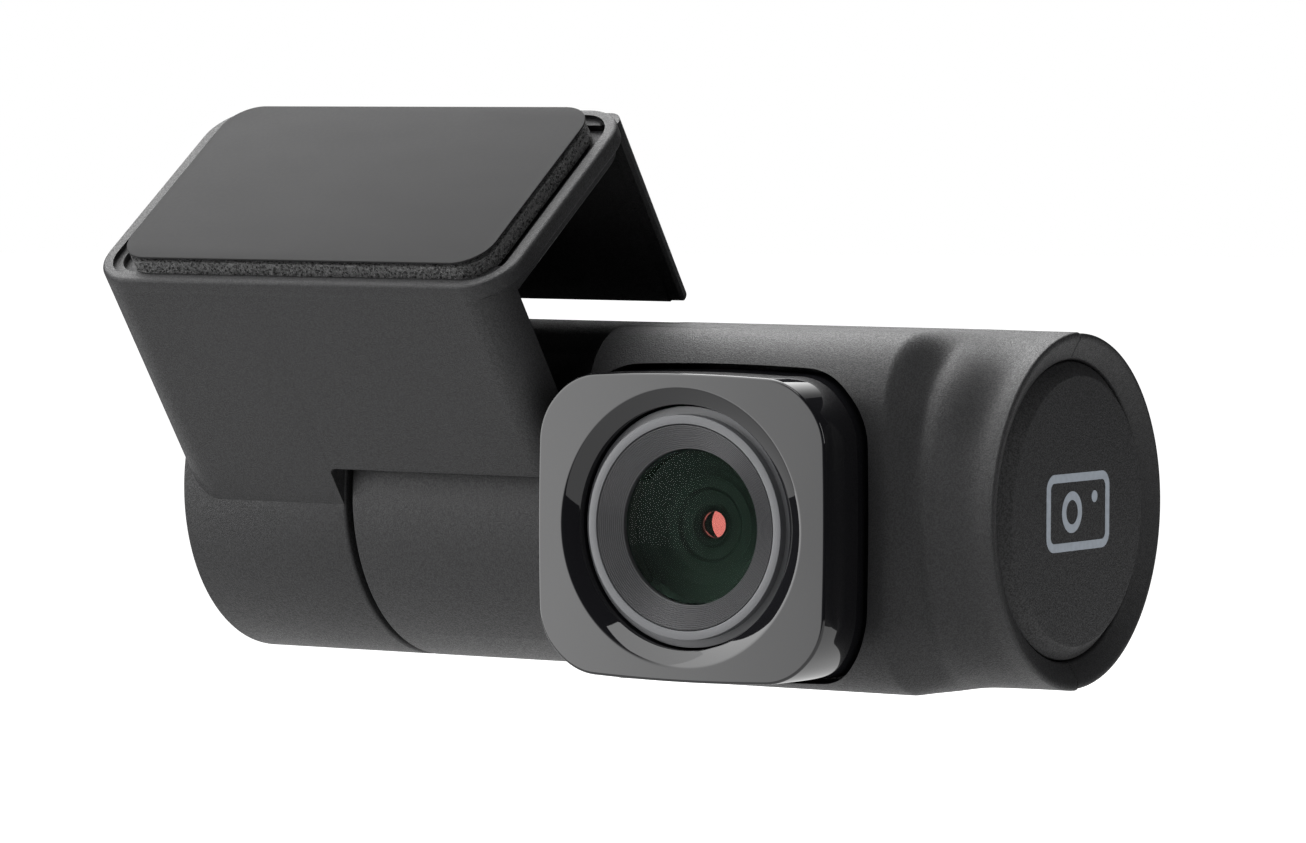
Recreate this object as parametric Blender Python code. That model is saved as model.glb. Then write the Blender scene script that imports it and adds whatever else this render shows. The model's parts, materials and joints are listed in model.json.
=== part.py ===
"""Dash camera: a barrel-shaped body that tilts in a windscreen bracket with an adhesive pad.

Frame: metres, +Z up. The origin is the middle of the adhesive pad's outer face. +X runs along
the barrel from the bracket to the free end, and the lens looks along -Y. Every size below is in
millimetres. Two empties carry the pieces: bracket_frame holds what is stuck to the glass, with
local Y up the pad's slope and local Z along its normal, and body_frame holds what tilts. Both
stand on the barrel's axis, which is the hinge.
"""

import math

import bmesh
import bpy

MM = 0.001

# Barrel
BARREL_RADIUS = 12.5
SHELL_WALL = 1.5
BODY_LENGTH = 52.95
BARREL_GAP = 0.55  # between the bracket's cup and the body
SPLIT_GAP_DEG = 0.5  # each shell stops this far short of the split plane
EDGE_FILLET = 0.25

# Bracket
MOUNT_TILT_DEG = 35.7
PAD_FACE_TO_AXIS = 27.8
PAD_LENGTH = 31.5
PAD_WIDTH = 18.6
PAD_CORNER = 2.6
FILM_THICKNESS = 0.15
FOAM_THICKNESS = 1.2
PAD_PROUD = 1.1  # the pad's outer face above the bracket's rim
PAD_MARGIN_X = 1.15
PAD_MARGIN_Y = 0.55
RIM_WIDTH_X = 0.95
RIM_WIDTH_Y = 0.75
RIM_SHIFT = -0.2  # the bracket's middle from the pad's middle, along the barrel
RIM_BAND = 1.3
RIM_OVERHANG = 0.75  # the rim past the open end's walls
RIM_CORNER = 3.5
RIM_EDGE = 0.3
PLATE_THICKNESS = 2.1
BRACKET_WALL = 1.5
FRONT_WALL_TO_AXIS = 9.8  # lower edge of the front wall above the axis, along the pad's normal
REAR_WALL_TO_AXIS = 10.5
CUP_LENGTH = 14.55
CUP_STEP = 0.15  # the cup's end inside the bracket's end wall
CUP_WALL = 1.8
CUP_WEB = 1.8

# Hinge
SHAFT_RADIUS = 3.95
RUNNING_CLEARANCE = 0.05
SHAFT_LENGTH = 5.3
FRICTION_WASHER_RADIUS = 8.0
FRICTION_WASHER_THICKNESS = 0.65
SPRING_THICKNESS = 0.6
CLAMP_RADIUS = 7.8
CLAMP_THICKNESS = 1.25
PIVOT_SCREW_RADIUS = 1.4
PIVOT_SCREW_HEAD_RADIUS = 2.9
PIVOT_SCREW_HEAD_HEIGHT = 1.65
PIVOT_SCREW_ENGAGEMENT = 5.9

# Ends
END_LIP_RADIUS = 10.55  # the mouth that each end disc shows through
END_LIP_THICKNESS = 0.8
END_FUNNEL_DEPTH = 0.8
END_FUNNEL_RADIUS = 12.05
END_DISC_CLEARANCE = 0.15
END_DISC_CHAMFER = 0.95
END_DISC_CHAMFER_DEPTH = 0.65
END_DISC_FLANGE = 0.3
END_DISC_THICKNESS = 1.45

# Lens surround
LENS_FROM_BODY_END = 31.75
LENS_DROP = 0.95
BEZEL_HALF_WIDTH = 11.65
BEZEL_HALF_HEIGHT = 10.65
BEZEL_BOW_X = 0.2
BEZEL_BOW_Z = 0.35
BEZEL_CORNER = 4.5
BEZEL_FACE_TO_AXIS = 18.65
BEZEL_BACK_TO_AXIS = 7.0
BEZEL_DRAFT = 0.15
BEZEL_EDGE = 0.12
BEZEL_WALL = 1.4
BEZEL_PLATE = 2.3
BEZEL_SEAM = 0.35
FUNNEL_RADIUS = 9.64
FUNNEL_DEPTH = 0.55
MOUTH_RADIUS = 8.51
BOSS_LIP = 0.5
BOSS_FACE_TO_AXIS = 13.7
BOSS_CORNER = 5.2
BOSS_START_PAST_WALL = 0.2
BOSS_RISE_LENGTH = 1.2
BOSS_FLAT_PAST_BEZEL = 1.5
BOSS_FALL_LENGTH = 2.8  # first fall of the flare, down to its ridge
BOSS_FALL_SHARE = 0.6  # how much of the boss the first fall takes away
BOSS_RIDGE_LENGTH = 0.6
BOSS_TAIL_LENGTH = 3.6  # second fall, from the ridge into the barrel

# Lens
TRIM_FACE_OUTER_RADIUS = 7.79
TRIM_FACE_INNER_RADIUS = 7.16
TRIM_GROOVE_DEPTH = 0.7
TRIM_FLANGE_THICKNESS = 0.9
TRIM_CONE_DEPTH = 0.75
TRIM_HOLE_RADIUS = 5.45
BARREL_HEAD_RADIUS = 6.3
BARREL_HEAD_LENGTH = 3.3
LENS_THREAD_RADIUS = 5.6
LENS_THREAD_LENGTH = 8.5
FRONT_LENS_RADIUS = 5.3
MIDDLE_LENS_RADIUS = 4.05
REAR_LENS_RADIUS = 3.45
LENS_DOME = 0.6
FRONT_SEAT_DEPTH = 1.3  # front lens's seat below the barrel's front
MIDDLE_SEAT_DEPTH = 5.0  # middle lens's seat below the front lens's
SPACER_LENGTH = 1.2
SPACER_WALL = 0.7
REAR_LENS_RECESS = 1.0
REAR_LENS_THICKNESS = 1.6
REAR_LENS_FRONT_DOME = 0.5
REAR_LENS_BACK_DOME = 0.4
RETAINER_LENGTH = 0.8
RETAINER_WALL = 0.9
TRIM_HOLE_LAND = 0.15

# Electronics
HOLDER_SIDE = 16.0
HOLDER_BASE = 3.3
HOLDER_TUBE_LENGTH = 6.0
HOLDER_TUBE_WALL = 0.85
HOLDER_WALL = 1.8
BOARD_CORNER = 1.0
SENSOR_HALF_SIZE = (3.8, 3.2)
SENSOR_THICKNESS = 1.0
FILTER_HALF_SIZE = (3.6, 3.0)
FILTER_THICKNESS = 0.4
CONNECTOR_SPAN = (-6.5, -3.3)  # along X from the lens
CONNECTOR_HALF_HEIGHT = 4.0
PROCESSOR_FROM_LENS = 4.0
PROCESSOR_HALF_SIDE = 4.5
PROCESSOR_RISE = 1.0  # middle of the processor above the axis
PROCESSOR_THICKNESS = 1.2
MEMORY_FROM_PROCESSOR = 9.5
MEMORY_HALF_SIZE = (3.0, 4.0)
MEMORY_THICKNESS = 1.0
FIN_COUNT = 5
FIN_THICKNESS = 0.8
FIN_GAP = 1.6
SINK_BASE = 0.8
SINK_HEIGHT = 2.6
SINK_SPAN = (-4.0, 5.5)  # along Z
SENSOR_BOARD_SIDE = 17.0
SENSOR_BOARD_THICKNESS = 1.0
SENSOR_BOARD_TO_AXIS = 2.05
MAIN_BOARD_LENGTH = 33.0
MAIN_BOARD_HEIGHT = 17.0
MAIN_BOARD_THICKNESS = 1.2
MAIN_BOARD_TO_AXIS = 2.6
MAIN_BOARD_FROM_BODY_END = 10.3
SOCKET_WIDTH = 7.6
SOCKET_HEIGHT = 3.4
SOCKET_WALL = 0.35
SOCKET_FROM_BODY_END = 16.8
SOCKET_MOUTH_CLEARANCE = 0.2
SOCKET_CORNER = 0.6
SOCKET_MOUTH_CORNER = 0.7
SOCKET_INSET = 0.5  # sleeve's mouth inside the shell's surface
SOCKET_FLOOR = 0.5
TONGUE_HALF_WIDTH = 2.6
TONGUE_HALF_THICKNESS = 0.45
TONGUE_INSET = 1.2
CAPACITOR_RADIUS = 3.8
CAPACITOR_LENGTH = 10.0
CAPACITOR_EDGE = 0.4
CAPACITOR_FROM_BOARD_END = 1.0

# Fasteners
SCREW_HEAD_EDGE = 0.3
SCREW_TIP = 0.4
HEX_KEY_RADIUS = 1.3
HEX_KEY_DEPTH = 0.9
POST_RADIUS = 2.3
POST_OFF_AXIS = 7.4
POST_FROM_ENDS = 6.1
SHELL_SCREW_RADIUS = 0.9
SHELL_SCREW_HEAD_RADIUS = 1.55
SHELL_SCREW_HEAD_HEIGHT = 1.3
SHELL_SCREW_SEAT_TO_AXIS = 5.6
SHELL_SCREW_DEPTH = 5.5
STANDOFF_RADIUS = 1.8
BOARD_SCREW_RADIUS = 0.6
BOARD_SCREW_HEAD_RADIUS = 1.4
BOARD_SCREW_HEAD_HEIGHT = 0.9
BOARD_SCREW_LENGTH = 5.2

# Fits between pieces
SEAT_GAP = 0.3  # between two pieces that rest on each other
SLIP_GAP = 0.15  # between a piece and the hole that it sits in
THREAD_GAP = 0.1
OVERCUT = 5.0  # how far a cutter runs past what it cuts
SHORT_OVERCUT = 1.0

ROUND = 64  # sides of a large turned piece
INNER_ROUND = 32  # sides of a turned piece inside the body
SCREW_ROUND = 20
CORNER_STEPS = 7
HALF_ROUND = 30  # steps round each half shell

# Positions along X from the pad's middle
RIM_HALF_LENGTH = PAD_LENGTH / 2 + PAD_MARGIN_X + RIM_WIDTH_X
RIM_LEFT = RIM_SHIFT - RIM_HALF_LENGTH
RIM_RIGHT = RIM_SHIFT + RIM_HALF_LENGTH
WALL_LEFT = RIM_LEFT
WALL_RIGHT = RIM_RIGHT - RIM_OVERHANG
WALL_CORNER = RIM_CORNER - RIM_OVERHANG  # concentric with the rim's corner
CUP_LEFT = WALL_LEFT + CUP_STEP
CUP_RIGHT = CUP_LEFT + CUP_LENGTH
BODY_LEFT = CUP_RIGHT + BARREL_GAP
BODY_RIGHT = BODY_LEFT + BODY_LENGTH
LENS_X = BODY_LEFT + LENS_FROM_BODY_END
LENS_Z = -LENS_DROP

# Positions along the pad's normal from the axis
RIM_TOP = PAD_FACE_TO_AXIS - PAD_PROUD
POCKET_FLOOR = PAD_FACE_TO_AXIS - FILM_THICKNESS - FOAM_THICKNESS - 2 * SEAT_GAP
CEILING = POCKET_FLOOR - PLATE_THICKNESS
BRACKET_HALF_WIDTH = PAD_WIDTH / 2 + PAD_MARGIN_Y + RIM_WIDTH_Y

# Ends and shells
INNER_RADIUS = BARREL_RADIUS - SHELL_WALL
END_DISC_RADIUS = END_LIP_RADIUS - END_DISC_CLEARANCE
END_FLANGE_RADIUS = END_LIP_RADIUS + END_DISC_FLANGE
BOSS_HALF_HEIGHT = LENS_DROP + BEZEL_HALF_HEIGHT + BEZEL_DRAFT + BEZEL_SEAM + BOSS_LIP
BOSS_RISE_START = WALL_RIGHT + BOSS_START_PAST_WALL
BOSS_FALL_START = LENS_X + BEZEL_HALF_WIDTH + BOSS_FLAT_PAST_BEZEL
BOSS_TAIL_START = BOSS_FALL_START + BOSS_FALL_LENGTH + BOSS_RIDGE_LENGTH
TRIM_FACE_Y = -(BEZEL_FACE_TO_AXIS - FUNNEL_DEPTH)


# ---------------------------------------------------------------- building blocks


def clear_scene():
    for item in list(bpy.data.objects):
        bpy.data.objects.remove(item, do_unlink=True)


def make_material(name, colour, roughness, metallic=0.0):
    material = bpy.data.materials.new(name)
    material.use_nodes = True
    shader = material.node_tree.nodes["Principled BSDF"]
    shader.inputs["Base Color"].default_value = (*colour, 1.0)
    shader.inputs["Roughness"].default_value = roughness
    shader.inputs["Metallic"].default_value = metallic
    return material


def make_empty(name, location, tilt=0.0):
    empty = bpy.data.objects.new(name, None)
    empty.location = location
    empty.rotation_euler = (tilt, 0.0, 0.0)
    bpy.context.scene.collection.objects.link(empty)
    return empty


def make_object(name, bm, parent, material=None):
    """Closes a bmesh built in millimetres into an object, faces out, under its parent."""
    bmesh.ops.remove_doubles(bm, verts=bm.verts, dist=1e-5)
    bmesh.ops.recalc_face_normals(bm, faces=bm.faces)
    bmesh.ops.scale(bm, vec=(MM, MM, MM), verts=bm.verts)
    mesh = bpy.data.meshes.new(name)
    bm.to_mesh(mesh)
    bm.free()
    mesh.shade_smooth()
    mesh.set_sharp_from_angle(angle=math.radians(30))
    made = bpy.data.objects.new(name, mesh)
    bpy.context.scene.collection.objects.link(made)
    made.parent = parent
    if material is not None:
        mesh.materials.append(material)
    return made


def boolean(target, tool, operation="DIFFERENCE"):
    """Cuts or joins target with a hidden tool object."""
    modifier = target.modifiers.new(tool.name, "BOOLEAN")
    modifier.operation = operation
    modifier.solver = "EXACT"
    modifier.object = tool
    tool.hide_render = True
    tool.display_type = "WIRE"


def add_loft(bm, rings):
    """A solid through rings of the same count of points, with flat ends."""
    loops = [[bm.verts.new(point) for point in ring] for ring in rings]
    count = len(loops[0])
    for near, far in zip(loops, loops[1:]):
        for i in range(count):
            j = (i + 1) % count
            bm.faces.new((near[i], near[j], far[j], far[i]))
    bm.faces.new(loops[0][::-1])
    bm.faces.new(loops[-1])


def add_turned(bm, profile, axis="X", centre=(0.0, 0.0), sides=ROUND):
    """Turns a closed profile of (along, radius) points about an axis parallel to X or Y."""
    rings = []
    for along, radius in profile:
        ring = []
        for k in range(sides if radius > 1e-6 else 1):
            angle = 2 * math.pi * k / sides
            across, up = radius * math.cos(angle), radius * math.sin(angle)
            if axis == "X":
                ring.append(bm.verts.new((along, centre[0] + across, centre[1] + up)))
            else:
                ring.append(bm.verts.new((centre[0] + across, along, centre[1] + up)))
        rings.append(ring)
    for near, far in zip(rings, rings[1:] + rings[:1]):
        if len(near) == 1 and len(far) == 1:
            continue
        for k in range(sides):
            j = (k + 1) % sides
            corners = [near[k % len(near)], near[j % len(near)]]
            corners += [far[j % len(far)], far[k % len(far)]]
            unique = list(dict.fromkeys(corners))
            bm.faces.new(unique)


def turned(name, profile, parent, material=None, axis="X", centre=(0.0, 0.0), sides=ROUND):
    bm = bmesh.new()
    add_turned(bm, profile, axis, centre, sides)
    return make_object(name, bm, parent, material)


def rounded_outline(low_x, high_x, low_y, high_y, radii):
    """Rectangle with corner radii given as (low x side, high x side), counter-clockwise."""
    left, right = radii
    corners = (
        (high_x - right, low_y + right, right, -90),
        (high_x - right, high_y - right, right, 0),
        (low_x + left, high_y - left, left, 90),
        (low_x + left, low_y + left, left, 180),
    )
    points = []
    for centre_x, centre_y, radius, start in corners:
        for k in range(CORNER_STEPS + 1):
            angle = math.radians(start + 90 * k / CORNER_STEPS)
            points.append((centre_x + radius * math.cos(angle), centre_y + radius * math.sin(angle)))
    return points


def add_plate(bm, outline, low, high, upright=False):
    """Extrudes an outline of (x, y) along Z, or of (x, z) along Y when upright."""
    if upright:
        add_loft(bm, [[(x, level, z) for x, z in outline] for level in (low, high)])
    else:
        add_loft(bm, [[(x, y, level) for x, y in outline] for level in (low, high)])


def add_box(bm, low, high):
    outline = [(low[0], low[1]), (high[0], low[1]), (high[0], high[1]), (low[0], high[1])]
    add_plate(bm, outline, low[2], high[2])


def box(name, low, high, parent, material=None):
    bm = bmesh.new()
    add_box(bm, low, high)
    return make_object(name, bm, parent, material)


def smooth_step(value):
    value = min(max(value, 0.0), 1.0)
    return value * value * (3 - 2 * value)


# ---------------------------------------------------------------- adhesive pad and bracket


def build_pad(frame, film_material, foam_material):
    outline = rounded_outline(
        -PAD_LENGTH / 2, PAD_LENGTH / 2, -PAD_WIDTH / 2, PAD_WIDTH / 2, (PAD_CORNER, PAD_CORNER)
    )
    film_low = PAD_FACE_TO_AXIS - FILM_THICKNESS
    bm = bmesh.new()
    add_plate(bm, outline, film_low, PAD_FACE_TO_AXIS)
    make_object("release_film", bm, frame, film_material)
    bm = bmesh.new()
    add_plate(bm, outline, film_low - SEAT_GAP - FOAM_THICKNESS, film_low - SEAT_GAP)
    make_object("foam_pad", bm, frame, foam_material)


def bracket_rings(levels):
    """Outer rings of the bracket's block: (height, inset, True where the rim overhangs)."""
    rings = []
    for level, inset, is_rim in levels:
        right = (RIM_RIGHT if is_rim else WALL_RIGHT) - inset
        corner = (RIM_CORNER if is_rim else WALL_CORNER) - inset
        outline = rounded_outline(
            WALL_LEFT + inset,
            right,
            -BRACKET_HALF_WIDTH + inset,
            BRACKET_HALF_WIDTH - inset,
            (RIM_CORNER - inset, corner),
        )
        rings.append([(x, y, level) for x, y in outline])
    return rings


def cup_profile():
    fillet = EDGE_FILLET
    mouth = CUP_LEFT + END_FUNNEL_DEPTH
    bore = BARREL_RADIUS - CUP_WALL
    web = CUP_RIGHT - CUP_WEB
    return [
        (CUP_LEFT, END_FUNNEL_RADIUS),
        (CUP_LEFT, BARREL_RADIUS - fillet),
        (CUP_LEFT + fillet * 0.3, BARREL_RADIUS - fillet * 0.3),
        (CUP_LEFT + fillet, BARREL_RADIUS),
        (CUP_RIGHT - fillet, BARREL_RADIUS),
        (CUP_RIGHT - fillet * 0.3, BARREL_RADIUS - fillet * 0.3),
        (CUP_RIGHT, BARREL_RADIUS - fillet),
        (CUP_RIGHT, SHAFT_RADIUS + RUNNING_CLEARANCE),
        (web, SHAFT_RADIUS + RUNNING_CLEARANCE),
        (web, bore),
        (mouth, bore),
    ]


def cup_core_profile():
    """What the cup leaves empty, to clear the bracket's walls out of it."""
    bore = BARREL_RADIUS - CUP_WALL
    web = CUP_RIGHT - CUP_WEB
    return [
        (CUP_LEFT - OVERCUT, 0.0),
        (CUP_LEFT - OVERCUT, bore),
        (web, bore),
        (web, SHAFT_RADIUS + RUNNING_CLEARANCE),
        (CUP_RIGHT + OVERCUT, SHAFT_RADIUS + RUNNING_CLEARANCE),
        (CUP_RIGHT + OVERCUT, 0.0),
    ]


def build_bracket(frame, material):
    band_low = RIM_TOP - RIM_BAND
    wall_foot = FRONT_WALL_TO_AXIS / 4
    bm = bmesh.new()
    add_loft(
        bm,
        bracket_rings(
            (
                (wall_foot, 0.0, False),
                (band_low, 0.0, False),
                (band_low, 0.0, True),
                (RIM_TOP - RIM_EDGE, 0.0, True),
                (RIM_TOP - RIM_EDGE * 0.3, RIM_EDGE * 0.3, True),
                (RIM_TOP, RIM_EDGE, True),
            )
        ),
    )
    shell = make_object("bracket_shell", bm, frame, material)

    inner_half = BRACKET_HALF_WIDTH - BRACKET_WALL
    bm = bmesh.new()
    outline = rounded_outline(
        WALL_LEFT + BRACKET_WALL,
        WALL_RIGHT - BRACKET_WALL,
        -inner_half,
        inner_half,
        (RIM_CORNER - BRACKET_WALL, WALL_CORNER - BRACKET_WALL),
    )
    add_plate(bm, outline, -OVERCUT, CEILING)
    boolean(shell, make_object("cut_bracket_cavity", bm, frame))

    open_half = BRACKET_HALF_WIDTH - WALL_CORNER
    boolean(
        shell,
        box(
            "cut_bracket_open_end",
            (WALL_RIGHT - 2 * BRACKET_WALL, -open_half, -OVERCUT),
            (WALL_RIGHT + OVERCUT, open_half, CEILING),
            frame,
        ),
    )
    notch_left = CUP_RIGHT - EDGE_FILLET / 2
    bm = bmesh.new()
    add_box(
        bm,
        (notch_left, -BRACKET_HALF_WIDTH - OVERCUT, -OVERCUT),
        (WALL_RIGHT + OVERCUT, -BRACKET_WALL, FRONT_WALL_TO_AXIS),
    )
    add_box(
        bm,
        (notch_left, BRACKET_WALL, -OVERCUT),
        (WALL_RIGHT + OVERCUT, BRACKET_HALF_WIDTH + OVERCUT, REAR_WALL_TO_AXIS),
    )
    boolean(shell, make_object("cut_bracket_foot", bm, frame))

    pocket_half_x = PAD_LENGTH / 2 + PAD_MARGIN_X
    pocket_half_y = PAD_WIDTH / 2 + PAD_MARGIN_Y
    pocket_corner = RIM_CORNER - RIM_WIDTH_X
    bm = bmesh.new()
    outline = rounded_outline(
        RIM_SHIFT - pocket_half_x,
        RIM_SHIFT + pocket_half_x,
        -pocket_half_y,
        pocket_half_y,
        (pocket_corner, pocket_corner),
    )
    add_plate(bm, outline, POCKET_FLOOR, RIM_TOP + OVERCUT)
    boolean(shell, make_object("cut_pad_pocket", bm, frame))

    boolean(shell, turned("cut_cup_core", cup_core_profile(), frame))
    boolean(shell, turned("join_cup", cup_profile(), frame), "UNION")



def end_disc_profile(face, inward):
    """Turned profile of an end disc; inward is +1 or -1 along X, from its face into the barrel."""
    seat = face + inward * (END_FUNNEL_DEPTH + END_LIP_THICKNESS + SEAT_GAP)
    back = seat + inward * (END_DISC_THICKNESS - END_DISC_THICKNESS / 4)
    hollow = seat + inward * 0.05
    skirt = END_DISC_RADIUS - 0.8
    return [
        (face, 0.0),
        (face, END_DISC_RADIUS - END_DISC_CHAMFER),
        (face + inward * END_DISC_CHAMFER_DEPTH, END_DISC_RADIUS),
        (seat, END_DISC_RADIUS),
        (seat, END_FLANGE_RADIUS),
        (back, END_FLANGE_RADIUS),
        (back, skirt),
        (hollow, skirt),
        (hollow, 0.0),
    ]


def build_cup_disc(frame, material):
    """The plug in the cup's open end: a chamfered disc with a skirt that grips the bore."""
    face = CUP_LEFT + EDGE_FILLET / 2
    grip = BARREL_RADIUS - CUP_WALL - SLIP_GAP
    floor = face + END_DISC_THICKNESS
    skirt_end = face + 3 * END_DISC_THICKNESS
    profile = [
        (face, 0.0),
        (face, grip - END_DISC_CHAMFER),
        (face + END_DISC_CHAMFER_DEPTH, grip),
        (skirt_end, grip),
        (skirt_end, grip - BRACKET_WALL),
        (floor, grip - BRACKET_WALL),
        (floor, 0.0),
    ]
    turned("cup_disc", profile, frame, material)


# ---------------------------------------------------------------- hinge


def build_hinge(bracket_frame, body_frame, materials):
    bore = SHAFT_RADIUS + SLIP_GAP
    washer_high = CUP_RIGHT - CUP_WEB - SEAT_GAP
    washer_low = washer_high - FRICTION_WASHER_THICKNESS
    washer = [
        (washer_low, bore),
        (washer_low, FRICTION_WASHER_RADIUS),
        (washer_high, FRICTION_WASHER_RADIUS),
        (washer_high, bore),
    ]
    turned("friction_washer", washer, bracket_frame, materials["fibre"], sides=INNER_ROUND)

    shaft_end = BODY_LEFT - SHAFT_LENGTH
    clamp_high = shaft_end - SEAT_GAP
    clamp_low = clamp_high - CLAMP_THICKNESS
    spring_high = washer_low - SEAT_GAP
    spring_low = clamp_high + SEAT_GAP
    spring = [
        (spring_high - SPRING_THICKNESS, bore),
        (spring_low, CLAMP_RADIUS - 2 * SLIP_GAP),
        (spring_low + SPRING_THICKNESS, CLAMP_RADIUS - 2 * SLIP_GAP),
        (spring_high, bore),
    ]
    turned("spring_washer", spring, body_frame, materials["steel"], sides=INNER_ROUND)

    hole = PIVOT_SCREW_RADIUS + THREAD_GAP
    clamp = [
        (clamp_low, hole),
        (clamp_low, CLAMP_RADIUS),
        (clamp_high, CLAMP_RADIUS),
        (clamp_high, hole),
    ]
    turned("clamp_disc", clamp, body_frame, materials["steel"], sides=INNER_ROUND)

    head_high = clamp_low - SEAT_GAP
    head_low = head_high - PIVOT_SCREW_HEAD_HEIGHT
    tip = shaft_end + PIVOT_SCREW_ENGAGEMENT - 2 * SEAT_GAP
    screw = [
        (head_low, 0.0),
        (head_low, PIVOT_SCREW_HEAD_RADIUS - SCREW_HEAD_EDGE),
        (head_low + SCREW_HEAD_EDGE, PIVOT_SCREW_HEAD_RADIUS),
        (head_high, PIVOT_SCREW_HEAD_RADIUS),
        (head_high, PIVOT_SCREW_RADIUS),
        (tip - SCREW_TIP, PIVOT_SCREW_RADIUS),
        (tip, PIVOT_SCREW_RADIUS - SCREW_TIP),
        (tip, 0.0),
    ]
    pivot_screw = turned("pivot_screw", screw, body_frame, materials["steel"], sides=SCREW_ROUND)
    recess = [
        (head_low - SHORT_OVERCUT, 0.0),
        (head_low - SHORT_OVERCUT, HEX_KEY_RADIUS),
        (head_low + HEX_KEY_DEPTH, HEX_KEY_RADIUS),
        (head_low + HEX_KEY_DEPTH, 0.0),
    ]
    boolean(pivot_screw, turned("cut_pivot_screw_key", recess, body_frame, sides=6))

    face = BODY_LEFT + SEAT_GAP
    seat = face + END_LIP_THICKNESS + SEAT_GAP
    back = seat + END_DISC_THICKNESS
    blind = shaft_end + PIVOT_SCREW_ENGAGEMENT
    hub = [
        (shaft_end, hole),
        (shaft_end, SHAFT_RADIUS - 0.2),
        (shaft_end + 0.2, SHAFT_RADIUS),
        (face, SHAFT_RADIUS),
        (face, END_DISC_RADIUS),
        (seat, END_DISC_RADIUS),
        (seat, END_FLANGE_RADIUS),
        (back, END_FLANGE_RADIUS),
        (back, 0.0),
        (blind, 0.0),
        (blind, hole),
    ]
    turned("pivot_hub", hub, body_frame, materials["shell"])


# ---------------------------------------------------------------- body shells


def boss_radius(angle):
    """Distance from the axis to the lens boss's outline, angle measured up from the lens side."""
    angle = abs(angle)
    corner_y = BOSS_FACE_TO_AXIS - BOSS_CORNER
    corner_z = BOSS_HALF_HEIGHT - BOSS_CORNER
    if math.tan(min(angle, 1.5)) * BOSS_FACE_TO_AXIS <= corner_z:
        return BOSS_FACE_TO_AXIS / math.cos(angle)
    if angle >= math.atan2(BOSS_HALF_HEIGHT, corner_y):
        return BOSS_HALF_HEIGHT / math.sin(angle)
    along = corner_y * math.cos(angle) + corner_z * math.sin(angle)
    across = corner_y * math.sin(angle) - corner_z * math.cos(angle)
    return along + math.sqrt(BOSS_CORNER**2 - across**2)


def boss_weight(x, trim=0.0):
    """How much of the lens boss stands at x: 0 on the plain barrel, 1 round the lens."""
    rise = smooth_step((x - trim - BOSS_RISE_START) / BOSS_RISE_LENGTH)
    fall = smooth_step((x + trim - BOSS_FALL_START) / BOSS_FALL_LENGTH)
    tail = smooth_step((x + trim - BOSS_TAIL_START) / BOSS_TAIL_LENGTH)
    return rise * (1 - BOSS_FALL_SHARE * fall - (1 - BOSS_FALL_SHARE) * tail)


def shell_profile(boss):
    """Closed profile of a half shell: (x, radius, boss weight) from the outside round the inside."""
    fillet = EDGE_FILLET
    lip_left = BODY_LEFT + END_LIP_THICKNESS
    lip_right = BODY_RIGHT - END_FUNNEL_DEPTH - END_LIP_THICKNESS
    outer = [BODY_LEFT + fillet]
    if boss:
        outer.append(BOSS_RISE_START)
        outer += [BOSS_RISE_START + BOSS_RISE_LENGTH * k / 4 for k in range(1, 5)]
        outer += [BOSS_FALL_START + BOSS_FALL_LENGTH * k / 5 for k in range(6)]
        outer += [BOSS_TAIL_START + BOSS_TAIL_LENGTH * k / 5 for k in range(6)]
    outer.append(BODY_RIGHT - fillet)
    profile = [
        (BODY_LEFT, END_LIP_RADIUS, 0.0),
        (BODY_LEFT, BARREL_RADIUS - fillet, 0.0),
        (BODY_LEFT + fillet * 0.3, BARREL_RADIUS - fillet * 0.3, 0.0),
    ]
    profile += [(x, BARREL_RADIUS, boss_weight(x) if boss else 0.0) for x in outer]
    profile += [
        (BODY_RIGHT - fillet * 0.3, BARREL_RADIUS - fillet * 0.3, 0.0),
        (BODY_RIGHT, BARREL_RADIUS - fillet, 0.0),
        (BODY_RIGHT, END_FUNNEL_RADIUS, 0.0),
        (BODY_RIGHT - END_FUNNEL_DEPTH, END_LIP_RADIUS, 0.0),
        (lip_right, END_LIP_RADIUS, 0.0),
        (lip_right, INNER_RADIUS, 0.0),
    ]
    if boss:
        inner = [x for x in outer[1:-1] if lip_left < x < lip_right]
        profile += [(x, INNER_RADIUS, boss_weight(x, SHELL_WALL)) for x in reversed(inner)]
    profile += [(lip_left, INNER_RADIUS, 0.0), (lip_left, END_LIP_RADIUS, 0.0)]
    return profile


def add_half_shell(bm, profile, front):
    """Sweeps the shell profile half a turn round the axis, on the lens side or behind it."""
    side = -1.0 if front else 1.0
    reach = math.radians(90 - SPLIT_GAP_DEG)
    loops = []
    for k in range(HALF_ROUND + 1):
        angle = -reach + 2 * reach * k / HALF_ROUND
        loop = []
        for x, radius, weight in profile:
            proud = (boss_radius(angle) - BARREL_RADIUS) * weight
            radius += proud
            point = (x, side * radius * math.cos(angle), radius * math.sin(angle))
            loop.append(point)
        loops.append(loop)
    add_loft(bm, loops)


def post_places():
    """Screw posts: (x, z) near both ends of the body, above and below the axis."""
    left, right = BODY_LEFT + POST_FROM_ENDS, BODY_RIGHT - POST_FROM_ENDS
    return [(x, z) for x in (left, right) for z in (POST_OFF_AXIS, -POST_OFF_AXIS)]


def standoff_places():
    """Main board screws: (x, z) at two opposite corners of the board."""
    low = BODY_LEFT + MAIN_BOARD_FROM_BODY_END
    high = low + MAIN_BOARD_LENGTH
    inset = STANDOFF_RADIUS + SLIP_GAP
    drop = MAIN_BOARD_HEIGHT / 2 - inset
    return [(low + inset, -drop), (high - inset, drop)]


def rod_profile(start, end, radius):
    return [(start, 0.0), (start, radius), (end, radius), (end, 0.0)]


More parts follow.
